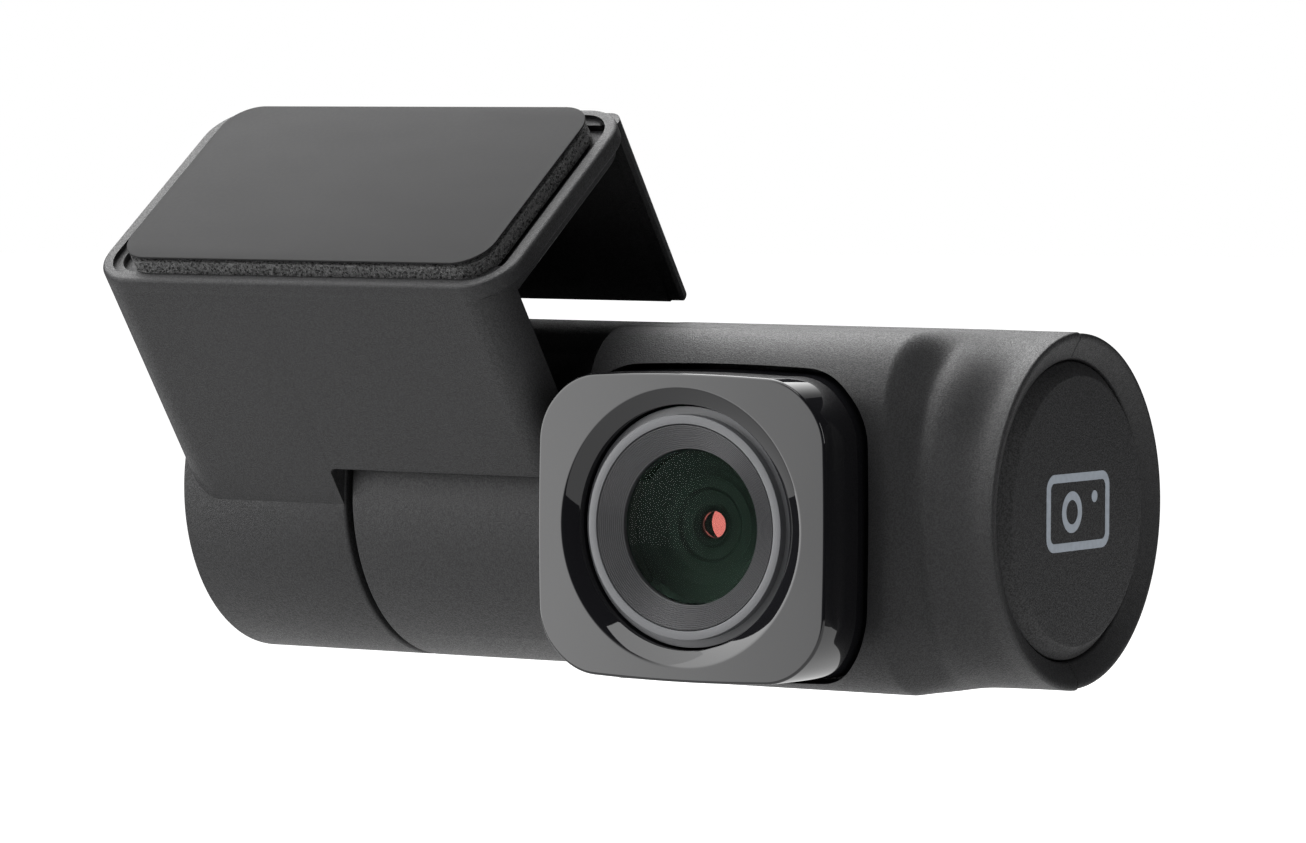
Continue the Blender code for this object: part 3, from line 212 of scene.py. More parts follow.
def soften(profile, radius, steps=4):
    """Rounds the corners of a closed (along, radius) profile, apart from those on the axis."""
    points = [Vector(point) for point in profile]
    rounded = []
    for before, corner, after in zip(points[-1:] + points, points, points[1:] + points[:1]):
        back, ahead = before - corner, after - corner
        if min(corner.y, back.length, ahead.length) < TINY:
            rounded.append(tuple(corner))
            continue
        reach = min(radius, back.length * CORNER_SHARE, ahead.length * CORNER_SHARE)
        start, end = corner + back.normalized() * reach, corner + ahead.normalized() * reach
        for k in range(steps + 1):
            t = k / steps
            rounded.append(tuple(start * (1 - t) ** 2 + corner * 2 * t * (1 - t) + end * t * t))
    return rounded


def rounded_outline(low, high, radii, steps=CORNER_STEPS):
    """Rectangle from low to high, with corner radii as (low x side, high x side)."""
    left, right = radii
    corners = (
        (high[0] - right, low[1] + right, right, -90),
        (high[0] - right, high[1] - right, right, 0),
        (low[0] + left, high[1] - left, left, 90),
        (low[0] + left, low[1] + left, left, 180),
    )
    points = []
    for centre_x, centre_y, radius, start in corners:
        for k in range(steps + 1):
            angle = math.radians(start + 90 * k / steps)
            across, up = radius * math.cos(angle), radius * math.sin(angle)
            points.append((centre_x + across, centre_y + up))
    return points


def edge_steps(edge, steps=5):
    """(depth from the face, inset) pairs round a quarter circle, from the face outwards."""
    pairs = []
    for k in range(steps + 1):
        angle = math.pi / 2 * k / steps
        pairs.append((edge * (1 - math.cos(angle)), edge * (1 - math.sin(angle))))
    return pairs


def smooth_step(value):
    value = min(max(value, 0.0), 1.0)
    return value * value * (3 - 2 * value)


def make_object(name, bm, matrix):
    bmesh.ops.remove_doubles(bm, verts=bm.verts, dist=WELD)
    bmesh.ops.recalc_face_normals(bm, faces=bm.faces)
    bmesh.ops.scale(bm, vec=(MM, MM, MM), verts=bm.verts)
    mesh = bpy.data.meshes.new(name)
    bm.to_mesh(mesh)
    bm.free()
    mesh.shade_smooth()
    mesh.set_sharp_from_angle(angle=SHARP_ANGLE)
    made = bpy.data.objects.new(name, mesh)
    bpy.context.scene.collection.objects.link(made)
    made.matrix_world = matrix
    return made


def lofted(name, rings, matrix, cyclic=False):
    bm = bmesh.new()
    loft(bm, rings, cyclic)
    return make_object(name, bm, matrix)


def turned(name, profile, matrix, *placing):
    bm = bmesh.new()
    turn(bm, profile, *placing)
    return make_object(name, bm, matrix)


def apply_cuts(target, tools):
    """Cuts or joins each (tool, operation) into target and keeps the finished mesh."""
    for tool, operation in tools:
        modifier = target.modifiers.new(tool.name, "BOOLEAN")
        modifier.operation = operation
        modifier.solver = "MANIFOLD"
        modifier.object = tool
    bpy.context.view_layer.update()
    graph = bpy.context.evaluated_depsgraph_get()
    finished = bpy.data.meshes.new_from_object(target.evaluated_get(graph))
    if not finished.polygons:
        raise RuntimeError(f"cutting {target.name} left nothing")
    target.modifiers.clear()
    old, name = target.data, target.data.name
    target.data = finished
    bpy.data.meshes.remove(old)
    finished.name = name
    finished.shade_smooth()
    finished.set_sharp_from_angle(angle=SHARP_ANGLE)
    for tool, _ in tools:
        bpy.data.objects.remove(tool, do_unlink=True)


def finish_piece(piece, body, material, slot, *stands_for):
    """Gives a piece its material and hangs it on its body. The slot argument is not used."""
    piece.data.materials.clear()
    piece.data.materials.append(material)
    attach(piece, body)
    if stands_for:
        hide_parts(*stands_for)
    return piece


# ---------------------------------------------------------------- shader helpers


class Wire:
    """A node's output that takes part in Python arithmetic by adding Math nodes."""

    def __init__(self, graph, socket):
        self.graph = graph
        self.socket = socket

    def maths(self, operation, first, second):
        return self.graph.node("ShaderNodeMath", {"operation": operation}, {0: first, 1: second})[0]

    def __add__(self, other):
        return self.maths("ADD", self, other)

    def __radd__(self, other):
        return self.maths("ADD", other, self)

    def __mul__(self, other):
        return self.maths("MULTIPLY", self, other)

    def __rmul__(self, other):
        return self.maths("MULTIPLY", other, self)


class Shader:
    """A material or a world under construction, whose nodes all come from one method."""

    def __init__(self, name, family=None):
        self.owner = (bpy.data.materials if family is None else family).new(name)
        self.owner.use_nodes = True
        self.tree = self.owner.node_tree
        self.tree.nodes.clear()

    def node(self, kind, settings=None, inputs=None):
        """Adds a node: settings first, then values or wires. Returns its outputs as wires."""
        made = self.tree.nodes.new(kind)
        for key, value in (settings or {}).items():
            setattr(made, key, value)
        for key, value in (inputs or {}).items():
            if isinstance(value, Wire):
                self.tree.links.new(value.socket, made.inputs[key])
            else:
                made.inputs[key].default_value = value
        wires = {index: Wire(self, socket) for index, socket in enumerate(made.outputs)}
        wires.update({socket.name: Wire(self, socket) for socket in made.outputs})
        return wires

    def place(self):
        return self.node("ShaderNodeTexCoord")["Object"]

    def stretched(self, scale):
        """Object coordinates scaled along each axis."""
        return self.node(
            "ShaderNodeMapping", {"vector_type": "POINT"}, {"Vector": self.place(), "Scale": scale}
        )["Vector"]

    def noise(self, size, detail, where=None):
        """Noise from 0 to 1 whose lumps are about size metres across."""
        return self.node(
            "ShaderNodeTexNoise",
            None,
            {"Vector": where or self.place(), "Scale": 1 / size, "Detail": detail},
        )["Fac"]

    def cells(self, size):
        """Distance to the nearest cell's centre, in cells about size metres apart."""
        return self.node(
            "ShaderNodeTexVoronoi", None, {"Vector": self.place(), "Scale": 1 / size}
        )["Distance"]

    def ramp(self, value, low, high, first=0.0, last=1.0):
        return self.node(
            "ShaderNodeMapRange",
            {"interpolation_type": "SMOOTHSTEP"},
            {"Value": value, "From Min": low, "From Max": high, "To Min": first, "To Max": last},
        )["Result"]

    def mix(self, share, first, second):
        """Colour between two colours."""
        return self.node(
            "ShaderNodeMix", {"data_type": "RGBA"}, {0: share, 6: opaque(first), 7: opaque(second)}
        )[2]

    def bump(self, height, depth):
        """Normal from a height from 0 to 1 that stands for depth millimetres."""
        inputs = {"Height": height, "Distance": depth * MM, "Strength": 1.0}
        return self.node("ShaderNodeBump", None, inputs)["Normal"]

    def finish(self, **inputs):
        """Ends in a Principled shader, with its sockets named with underscores for spaces."""
        named = {key.replace("_", " "): value for key, value in inputs.items()}
        for key in ("Base Color", "Emission Color"):
            if key in named:
                named[key] = opaque(named[key])
        shader = self.node("ShaderNodeBsdfPrincipled", None, named)["BSDF"]
        self.node("ShaderNodeOutputMaterial", None, {"Surface": shader})
        return self.owner

    def mottled(self, cloud, colours, roughness, depth=None, tone=None, **more):
        """Ends in a shader that follows cloud, and tone for its colour where that is given."""
        if depth:
            more["Normal"] = self.bump(cloud, depth)
        return self.finish(
            Base_Color=self.mix(tone or cloud, *colours),
            Roughness=self.ramp(cloud, 0.3, 0.7, *roughness),
            **more,
        )


def opaque(colour):
    if isinstance(colour, Wire) or len(colour) == 4:
        return colour
    return (*colour, 1.0)


def shades(colour, *factors):
    """The colour times each factor."""
    return [tuple(channel * factor for channel in colour) for factor in factors]


# ---------------------------------------------------------------- finishes


def grained_plastic(name, colour, grain, roughness=0.5, speckle=0.35):
    """Moulded plastic with a fine spark-eroded grain."""
    shader = Shader(name)
    fine = shader.noise(grain, 3.0)
    coarse = shader.noise(grain * 2.7, 1.0)
    broad = shader.noise(6 * MM, 2.0)
    lumps = fine * 0.8 + coarse * 0.2
    spread = shader.ramp(lumps, 0.36, 0.64)
    tone = spread * 0.9 + broad * 0.1
    return shader.finish(
        Base_Color=shader.mix(tone, *shades(colour, 1 - speckle, 1 + speckle)),
        Roughness=shader.ramp(tone, 0.0, 1.0, roughness + 0.08, roughness - 0.08),
        Normal=shader.bump(lumps, 0.05),
        IOR=1.36,
    )


def gloss_plastic(name, colour):
    """Polished black plastic, with the faintest waviness and hairline handling marks."""
    shader = Shader(name)
    hairs = shader.noise(0.5 * MM, 3.0, shader.stretched((1, 1, 14)))
    marks = shader.ramp(hairs, 0.62, 0.75)
    waves = shader.noise(7 * MM, 0.0)
    return shader.finish(
        Base_Color=shader.mix(marks, *shades(colour, 1.0, 1.6)),
        Roughness=shader.ramp(marks, 0.0, 1.0, 0.025, 0.06),
        Normal=shader.bump(waves, 0.01),
        IOR=1.53,
    )


def satin_metal(name, colour, roughness=0.36, metallic=0.85):
    """Bead-blasted and anodised metal."""
    shader = Shader(name)
    beads = shader.noise(0.06 * MM, 2.0)
    tone = beads * 0.7 + shader.noise(3 * MM, 2.0) * 0.3
    rough = (roughness - 0.05, roughness + 0.05)
    return shader.mottled(beads, shades(colour, 0.88, 1.1), rough, 0.006, tone, Metallic=metallic)


def film_finish(name, colour):
    """Smooth release film with broad soft smears and a faint fibre."""
    shader = Shader(name)
    broad = shader.noise(7 * MM, 3.0, shader.stretched((1, 3, 3)))
    fibre = shader.noise(0.25 * MM, 3.0)
    tone = broad * 0.3 + fibre * 0.7
    return shader.finish(
        Base_Color=shader.mix(tone, *shades(colour, 0.93, 1.07)),
        Roughness=shader.ramp(tone, 0.3, 0.7, 0.5, 0.56),
        Normal=shader.bump(fibre, 0.004),
        Specular_IOR_Level=0.05,
    )


def foam_finish(name):
    """Open-cell foam: pores darkened with painted shade, with paler walls between them."""
    shader = Shader(name)
    large = shader.cells(0.26 * MM)
    small = shader.cells(0.12 * MM)
    # Low at the cell centres, where the pores get painted shade, and high on the walls, which also take the bump.
    walls = shader.ramp(large * 0.6 + small * 0.4, 0.2, 0.6)
    speck = shader.ramp(shader.noise(0.1 * MM, 3.0), 0.52, 0.66)
    tone = walls * 0.45 + speck * 0.55
    return shader.finish(
        Base_Color=shader.mix(tone, (0.008, 0.008, 0.008), (0.2, 0.2, 0.2)),
        Roughness=shader.ramp(tone, 0.0, 1.0, 0.95, 0.75),
        Normal=shader.bump(walls, 0.12),
    )


def lens_glass(name, tint, clear=1.0):
    """Glass with an antireflection coating, whose cloud only just varies its tint."""
    shader = Shader(name)
    cloud = shader.noise(1.5 * MM, 2.0)
    tints = shades(tint, 0.96, 1.04)
    return shader.mottled(cloud, tints, (0.0, 0.01), IOR=1.07, Transmission_Weight=clear)


def ridged_black(name):
    """Matte black anodising with a fine mottle."""
    shader = Shader(name)
    colours = (0.005, 0.005, 0.006), (0.015, 0.015, 0.017)
    return shader.mottled(shader.noise(0.09 * MM, 2.0), colours, (0.34, 0.5), 0.01)


def filter_with_painted_reflection(name):
    """The coated infrared filter deep in the lens, whose dull red emission is a painted reflection off its
    coating.
    """
    shader = Shader(name)
    cloud = shader.noise(0.6 * MM, 2.0)
    # Painted reflection: this emission colour stands in for light reflected off the filter's coating.
    painted_reflection = shader.mix(cloud, (0.95, 0.16, 0.17), (1.0, 0.2, 0.21))
    colours = (0.5, 0.14, 0.13), (0.62, 0.2, 0.18)
    return shader.mottled(cloud, colours, (0.1, 0.2), Emission_Color=painted_reflection, Emission_Strength=3.2)


def plated_steel(name):
    """Bright plating with brushed lines."""
    shader = Shader(name)
    lines = shader.noise(0.1 * MM, 3.0, shader.stretched((1, 8, 1)))
    colours = (0.42, 0.42, 0.44), (0.66, 0.66, 0.68)
    return shader.mottled(lines, colours, (0.25, 0.42), 0.004, Metallic=1.0)


def solder_mask(name):
    """Green circuit board with copper tracks just under the mask."""
    shader = Shader(name)
    tracks = shader.ramp(shader.cells(1.1 * MM), 0.34, 0.4)
    pads = shader.ramp(shader.cells(0.6 * MM), 0.12, 0.09)
    green = shader.mix(tracks, (0.01, 0.09, 0.035), (0.02, 0.16, 0.06))
    return shader.finish(
        Base_Color=shader.mix(pads, green, (0.5, 0.42, 0.2)),
        Roughness=shader.ramp(pads, 0.0, 1.0, 0.4, 0.28),
        Normal=shader.bump(tracks, 0.03),
    )


def plain_moulding(name, colour, roughness):
    """Small moulded pieces: a faint mottle and a soft orange peel."""
    shader = Shader(name)
    rough = (roughness - 0.06, roughness + 0.06)
    return shader.mottled(shader.noise(0.4 * MM, 3.0), shades(colour, 0.8, 1.2), rough, 0.01)


def shell_plastic(name, context, grain_share=1.0, *looks):
    """The matte plastic of the shells, from the settings."""
    finish = context.scene.dashcam_finish
    return grained_plastic(name, finish.plastic, finish.grain * grain_share, *looks)


# ---------------------------------------------------------------- bracket


FOAM_LEVELS = 9
FOAM_STEP = 0.16
FOAM_INSET = 0.05
FOAM_ROUGHNESS = 0.09
FOAM_LUMPS = 3.1
FOAM_WAIST = 0.04
FILM_EDGE = 0.05


def pad_outline(settings, inset=0.0):
    half = settings.pad_width / MM / 2
    corner = settings.pad_corner / MM - inset
    return rounded_outline(
        (PAD_LEFT + inset, inset - half), (PAD_RIGHT - inset, half - inset), (corner, corner)
    )


def film_rings(settings, low, high):
    """Rings of a plate from low to high, with rounded top and bottom edges."""
    steps = edge_steps(FILM_EDGE)
    levels = [(low + depth, inset) for depth, inset in steps]
    levels += [(high - depth, inset) for depth, inset in reversed(steps)]
    return [[(x, y, level) for x, y in pad_outline(settings, inset)] for level, inset in levels]


def foam_rings(settings, low, high):
    """Levels of the foam's side, roughened so that its cut cells show."""
    rings = []
    for k in range(FOAM_LEVELS):
        share = k / (FOAM_LEVELS - 1)
        rough = 0.0 if k in (0, FOAM_LEVELS - 1) else FOAM_ROUGHNESS
        ring = []
        for x, y in dense(pad_outline(settings, FOAM_INSET), FOAM_STEP):
            push = noise.noise(Vector((x * FOAM_LUMPS, y * FOAM_LUMPS, share * 4))) * rough
            place = Vector((x, y, 0.0))
            inward = Vector((PAD_X - x, -y, 0.0)).normalized()
            place += inward * (push + FOAM_WAIST * math.sin(math.pi * share))
            ring.append((place.x, place.y, low + (high - low) * share))
        rings.append(ring)
    return rings


def dense(outline, step):
    """The outline with points added so that none are further apart than step."""
    points = []
    for start, end in zip(outline, outline[1:] + outline[:1]):
        count = max(1, math.ceil(math.dist(start, end) / step))
        for k in range(count):
            points.append(tuple(a + (b - a) * k / count for a, b in zip(start, end)))
    return points


def level_span(node):
    """Lowest and highest level of a bracket node along the pad's normal."""
    normal = Vector((0.0, -math.sin(TILT), math.cos(TILT)))
    holder = frame["nodes"][node]
    levels = [
        (holder.matrix_world @ vert.co - BARREL.translation).dot(normal) / MM
        for vert in holder.data.vertices
    ]
    return min(levels), max(levels)


class DASHCAM_OT_pad(bpy.types.Operator):
    """Builds the adhesive pad: the foam and the release film on it"""

    bl_idname = "dashcam.pad"
    bl_label = "Adhesive pad"

    def execute(self, context):
        settings = context.scene.dashcam_bracket
        sheet = lofted("pad_film", film_rings(settings, *level_span("release_film")), BRACKET)
        material = film_finish("release_film_grey", context.scene.dashcam_finish.film)
        finish_piece(sheet, "bracket", material, "release_film", "release_film")

        foam = lofted("pad_foam", foam_rings(settings, *level_span("foam_pad")), BRACKET)
        finish_piece(foam, "bracket", foam_finish("foam_cells"), "foam", "foam_pad")
        return {"FINISHED"}


FLUSH = 0.004  # wall inside the rim, so that their faces never share a plane
RIM_OVERHANG = 0.75
RIM_BAND = 1.3
RIM_WIDTH_X = 0.95
RIM_WIDTH_Y = 0.75
PAD_MARGIN_Y = 0.55
PAD_GAP = 0.3
PLATE_THICKNESS = 2.1
CUP_INSET = 0.15
CUP_TO_BODY = 0.55
CUP_WALL = 1.8
FRONT_WALL_FOOT = 9.8
REAR_WALL_FOOT = 10.5
REAR_WALL_CORNER = 1.2
WALL_CORNER_STEPS = 14
WALL_NOTCH_INSET = 0.12
WALL_NOTCH_FILLET = 0.5
WALL_BELOW_RIM = 0.15


def bracket_half_width(settings):
    return settings.pad_width / MM / 2 + PAD_MARGIN_Y + RIM_WIDTH_Y


def bracket_outline(settings, inset, right_inset=None, corner_inset=None):
    """The rim's outline, drawn in by inset, and by right_inset at the open end."""
    half = bracket_half_width(settings) - inset
    right = RIM_RIGHT - (inset if right_inset is None else right_inset)
    corner = settings.rim_corner / MM
    left_corner = corner - (inset if corner_inset is None else corner_inset)
    return rounded_outline(
        (RIM_LEFT + inset, -half), (right, half), (left_corner, max(0.4, left_corner))
    )


def plate_rings(settings):
    """Rings of the bracket's top plate: from its ceiling round the rim into the pad's pocket."""
    rim_top = level_span("bracket_shell")[1]
    pocket = level_span("foam_pad")[0] - PAD_GAP
    ceiling = pocket - PLATE_THICKNESS
    band = rim_top - RIM_BAND
    edge = settings.edge / MM
    within = settings.wall / MM / 2
    over = RIM_OVERHANG
    rings = [
        (ceiling, within, over + 0.95, within),
        (ceiling + 0.12, within, over + 0.6, within),
        (ceiling + 0.6, within, over + 0.12, within),
        (ceiling + 0.75, within, over, within),
        (band - 0.01, within, over, within),
        (band, 0.0, edge, 0.0),
    ]
    rings += [(band + depth, inset, inset, inset) for depth, inset in edge_steps(edge)]
    rings += [
        (rim_top - depth, inset, inset, inset) for depth, inset in reversed(edge_steps(edge + 0.08))
    ]
    made = []
    for level, inset, right_inset, corner_inset in rings:
        outline = bracket_outline(settings, inset, right_inset, corner_inset)
        made.append([(x, y, level) for x, y in outline])
    for depth, inset in edge_steps(edge * 0.6):
        made.append(pocket_ring(settings, rim_top - depth, inset - edge * 0.6))
    made.append(pocket_ring(settings, pocket + 0.1, 0.0))
    made.append(pocket_ring(settings, pocket, 0.1))
    return made


def pocket_ring(settings, level, inset):
    half = settings.pad_width / MM / 2 + PAD_MARGIN_Y - inset
    corner = settings.rim_corner / MM - RIM_WIDTH_X - inset
    left, right = RIM_LEFT + RIM_WIDTH_X + inset, RIM_RIGHT - RIM_WIDTH_X - inset
    outline = rounded_outline((left, -half), (right, half), (corner, corner))
    return [(x, y, level) for x, y in outline]


def wall_stations(settings):
    """Places along the bracket's wall, from the front wall's end round the left to the rear's.

    Each is (x, y, outward x, outward y, foot), where foot is how low the wall reaches there.
    """
    half = bracket_half_width(settings) - FLUSH
    right = RIM_RIGHT - RIM_OVERHANG
    left_corner = settings.rim_corner / MM
    wall = settings.wall / MM
    ring = BARREL_RADIUS - CUP_WALL / 2
    low_foot = math.sqrt(ring**2 - (half - wall / 2) ** 2)
    notch = BODY_LEFT - CUP_TO_BODY - WALL_NOTCH_INSET
    fillet = WALL_NOTCH_FILLET

    def foot(x, y, side):
        if x <= notch:
            in_corner = x < RIM_LEFT + left_corner
            return math.sqrt(max(ring**2 - y * y, low_foot**2)) if in_corner else low_foot
        clear = FRONT_WALL_FOOT if side < 0 else REAR_WALL_FOOT
        if x < notch + fillet:
            return clear - fillet + math.sqrt(fillet**2 - (fillet - (x - notch)) ** 2)
        return clear

    quarter = [math.pi / 2 * k / WALL_CORNER_STEPS for k in range(WALL_CORNER_STEPS + 1)]
    stations = []
    for side, corner in ((-1, left_corner - RIM_OVERHANG), (1, REAR_WALL_CORNER)):
        places = []
        for angle in quarter:
            x = right - corner + corner * math.cos(angle)
            y = side * (half - corner + corner * math.sin(angle))
            places.append((x, y, math.cos(angle), side * math.sin(angle)))
        straight = [notch + fillet + 3.0, *(notch + fillet * (1 - k / 6) for k in range(6))]
        straight += [notch + 0.01, notch, RIM_LEFT + left_corner + 1.0]
        places += [(x, side * half, 0, side) for x in straight]
        for angle in quarter:
            x = RIM_LEFT + FLUSH + left_corner - left_corner * math.sin(angle)
            y = side * (half - left_corner + left_corner * math.cos(angle))
            places.append((x, y, -math.sin(angle), side * math.cos(angle)))
        for k in range(1, 9):
            places.append((RIM_LEFT + FLUSH, side * (half - left_corner) * (1 - k / 8), -1, 0))
        made = [(*place, foot(place[0], place[1] - place[3] * wall / 2, side)) for place in places]
        stations += made if side < 0 else made[-2::-1]
    return stations


def wall_rings(settings, top):
    """Cross-sections of the bracket's wall with a rounded foot."""
    wall = settings.wall / MM
    edge = settings.edge / MM
    stations = wall_stations(settings)
    rings = []
    for number, (x, y, out_x, out_y, foot) in enumerate(stations):
        section = [(0.0, top)]
        section += [(inset, foot + depth) for depth, inset in reversed(edge_steps(edge))]
        section += [(wall - inset, foot + depth) for depth, inset in edge_steps(edge)]
        section.append((wall, top))
        ring = [(x - out_x * t, y - out_y * t, level) for t, level in section]
        if number in (0, len(stations) - 1):
            low = foot + edge
            drawn = [(min(max(t, edge), wall - edge), max(level, low)) for t, level in section]
            push = -edge if y > 0 else edge
            end = [(x - out_x * t, y + push - out_y * t, level) for t, level in drawn]
            rings += [end, ring] if number == 0 else [ring, end]
        else:
            rings.append(ring)
    return rings


def cup_profile():
    """The round cup at the bracket's left, with the web that the hinge passes through."""
    left = RIM_LEFT + CUP_INSET
    right = BODY_LEFT - CUP_TO_BODY
    web = right - CUP_WALL
    bore = BARREL_RADIUS - CUP_WALL
    hole = 4.0
    return [
        (left, BARREL_RADIUS - 0.45),
        (left, BARREL_RADIUS),
        (right, BARREL_RADIUS),
        (right, hole),
        (web, hole),
        (web, bore),
        (left + 0.8, bore),
    ]


class DASHCAM_OT_bracket(bpy.types.Operator):
    """Builds the bracket's shell: the plate and rim, the walls and the cup"""

    bl_idname = "dashcam.bracket"
    bl_label = "Bracket shell"

    def execute(self, context):
        settings = context.scene.dashcam_bracket
        wall_top = level_span("bracket_shell")[1] - settings.edge / MM - WALL_BELOW_RIM
        shell = lofted("bracket_housing", plate_rings(settings), BRACKET)
        walls = lofted("wall_tool", wall_rings(settings, wall_top), BRACKET)
        cup = turned("cup_tool", soften(cup_profile(), 0.25), BRACKET, "X")
        apply_cuts(shell, [(walls, "UNION"), (cup, "UNION")])
        material = shell_plastic("bracket_plastic", context)
        finish_piece(shell, "bracket", material, "matte_black_plastic", "bracket_shell")
        return {"FINISHED"}


class DASHCAM_OT_cup_disc(bpy.types.Operator):
    """Builds the disc that closes the bracket's cup"""

    bl_idname = "dashcam.cup_disc"
    bl_label = "Cup disc"

    def execute(self, context):
        left, right = span("cup_disc", 0)
        radius = BARREL_RADIUS - CUP_WALL - 0.15
        profile = [
            (left, 0.0),
            (left, radius - 0.95),
            (left + 0.65, radius),
            (right, radius),
            (right, radius - 1.5),
            (left + 1.5, radius - 1.5),
            (left + 1.5, 0.0),
        ]
        disc = turned("cup_cover", soften(profile, 0.15), BRACKET, "X")
        material = shell_plastic("cup_cover_plastic", context, 1.2)
        finish_piece(disc, "bracket", material, "matte_black_plastic", "cup_disc")
        return {"FINISHED"}


# ---------------------------------------------------------------- barrel shells

LIP_RADIUS = 10.55
LIP_DEPTH = 0.8
FUNNEL_DEPTH = 0.8
FUNNEL_RADIUS = 12.08
BOSS_CORNER = 5.2
BOSS_RISE = 1.2
BOSS_FLAT_PAST_BEZEL = 1.5
FLARE_FALL = 2.8
FLARE_SHARE = 0.6
FLARE_REST = 0.6
FLARE_TAIL = 3.6
SHELL_STEP = 0.1  # the rear shell's end and surface inside the front shell's
LONG_SLOPE_FROM, LONG_SLOPE_SPAN = 0.75, 0.45  # angles from the lens side, in radians
RIDGE_SPREAD = 0.55
RIDGE_UNTIL, RIDGE_FADE = 1.15, 0.5
FLANK_FROM, FLANK_SPAN, FLANK_SINK = 1.15, 0.35, 0.6
FLARE_STEP = 0.18
SPLIT_EASE = 0.16
SPLIT_SINK = 0.12
SWEEP_STEPS = 120


def boss_radius(angle):
    """Distance from the axis to the lens boss's outline, angle measured up from the lens side."""
    angle = abs(angle)
    corner_y = BOSS_FACE - BOSS_CORNER
    corner_z = BOSS_HALF_HEIGHT - BOSS_CORNER
    if math.tan(min(angle, 1.5)) * BOSS_FACE <= corner_z:
        return BOSS_FACE / math.cos(angle)
    if angle >= math.atan2(BOSS_HALF_HEIGHT, corner_y):
        return BOSS_HALF_HEIGHT / math.sin(angle)
    along = corner_y * math.cos(angle) + corner_z * math.sin(angle)
    across = corner_y * math.sin(angle) - corner_z * math.cos(angle)
    return along + math.sqrt(BOSS_CORNER**2 - across**2)


def flare_places():
    rise = RIM_RIGHT - RIM_OVERHANG + 0.2
    fall = LENS_X + BEZEL_HALF_WIDTH - 0.15 + BOSS_FLAT_PAST_BEZEL
    return rise, fall, fall + FLARE_FALL + FLARE_REST


def boss_weight(x, angle):
    """How much of the lens boss stands at x, with a rest part of the way down the flare.

    The rest fades towards the top and the bottom, where the boss falls in one long slope.
    """
    rise_start, fall_start, tail_start = flare_places()
    rise = smooth_step((x - rise_start) / BOSS_RISE)
    fall = smooth_step((x - fall_start) / FLARE_FALL)
    tail = smooth_step((x - tail_start) / FLARE_TAIL)
    whole = smooth_step((x - fall_start) / (tail_start + FLARE_TAIL - fall_start))
    fade = smooth_step((abs(angle) - LONG_SLOPE_FROM) / LONG_SLOPE_SPAN)
    stepped = FLARE_SHARE * fall + (1 - FLARE_SHARE) * tail
    return rise * (1 - stepped * (1 - fade) - whole * fade)


def ridge_height(x, angle, height):
    """The soft ridge across the flare, which fades towards the top and the bottom."""
    _, fall_start, tail_start = flare_places()
    crest = (fall_start + FLARE_FALL + tail_start) / 2
    along = math.exp(-(((x - crest) / RIDGE_SPREAD) ** 2))
    return height * along * smooth_step((RIDGE_UNTIL - abs(angle)) / RIDGE_FADE)


def flare_stations():
    """Places along the barrel where the boss's height changes, finely spaced."""
    rise_start, fall_start, tail_start = flare_places()
    stations = [rise_start + BOSS_RISE * k / 10 for k in range(11)]
    length = tail_start + FLARE_TAIL - fall_start
    steps = round(length / FLARE_STEP)
    return stations + [fall_start + length * k / steps for k in range(steps + 1)]


def shell_profile(front, wall):
    """Closed (x, radius, follows the boss) profile of a half shell, outside then inside."""
    right = BODY_RIGHT if front else BODY_RIGHT - SHELL_STEP
    radius = BARREL_RADIUS if front else BARREL_RADIUS - SHELL_STEP
    inner = BARREL_RADIUS - wall
    ends = [
        (BODY_LEFT, LIP_RADIUS),
        (BODY_LEFT, radius),
        (right, radius),
        (right, FUNNEL_RADIUS - (0.0 if front else SHELL_STEP)),
        (right - FUNNEL_DEPTH, LIP_RADIUS),
        (right - FUNNEL_DEPTH - LIP_DEPTH, LIP_RADIUS),
        (right - FUNNEL_DEPTH - LIP_DEPTH, inner),
        (BODY_LEFT + LIP_DEPTH, inner),
        (BODY_LEFT + LIP_DEPTH, LIP_RADIUS),
    ]
    rounded = soften(ends, 0.2)
    start, stop = BODY_LEFT + 0.3, right - 0.35
    outer = [(x, radius) for x in (flare_stations() if front else [])]
    split = next(k for k, (x, r) in enumerate(rounded) if x > stop and r > radius - TINY)
    profile = rounded[:split] + outer + rounded[split:]
    return [(x, r, front and r > radius - 0.5 and start <= x <= stop) for x, r in profile]


def half_shell(bm, front, barrel):
    """Sweeps the profile half a turn, with the split edges eased."""
    ridge = barrel.ridge / MM
    side = -1.0 if front else 1.0
    reach = math.pi / 2 - barrel.seam / MM / 2 / BARREL_RADIUS
    ease = SPLIT_EASE / BARREL_RADIUS
    angles = [reach * (-1 + 2 * k / SWEEP_STEPS) for k in range(1, SWEEP_STEPS)]
    starts = [-reach, ease / 3 - reach, ease - reach]
    angles = [*starts, *angles, *(-angle for angle in reversed(starts))]
    profile = shell_profile(front, barrel.wall / MM)
    loops = []
    for angle in angles:
        from_edge = (reach - abs(angle)) / ease
        sink = SPLIT_SINK * (1 - math.sqrt(max(0.0, 1 - max(0.0, 1 - from_edge) ** 2)))
        low = 1 - FLANK_SINK * smooth_step((abs(angle) - FLANK_FROM) / FLANK_SPAN)
        loop = []
        for x, radius, follows in profile:
            if follows:
                radius += (boss_radius(angle) - BARREL_RADIUS) * boss_weight(x, angle) * low
                radius += ridge_height(x, angle, ridge)
            if radius > BARREL_RADIUS - 0.6:
                radius -= sink
            loop.append((x, side * radius * math.cos(angle), radius * math.sin(angle)))
        loops.append(loop)
    loft(bm, loops)


ARC_STEPS = 20
SIDE_STEPS = 44
BEZEL_GAP = 0.15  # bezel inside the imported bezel's box
BEZEL_BOW_X, BEZEL_BOW_Z = 0.2, 0.35
BEZEL_CORNER = 4.5
BOW_INTO_CORNER = 0.3


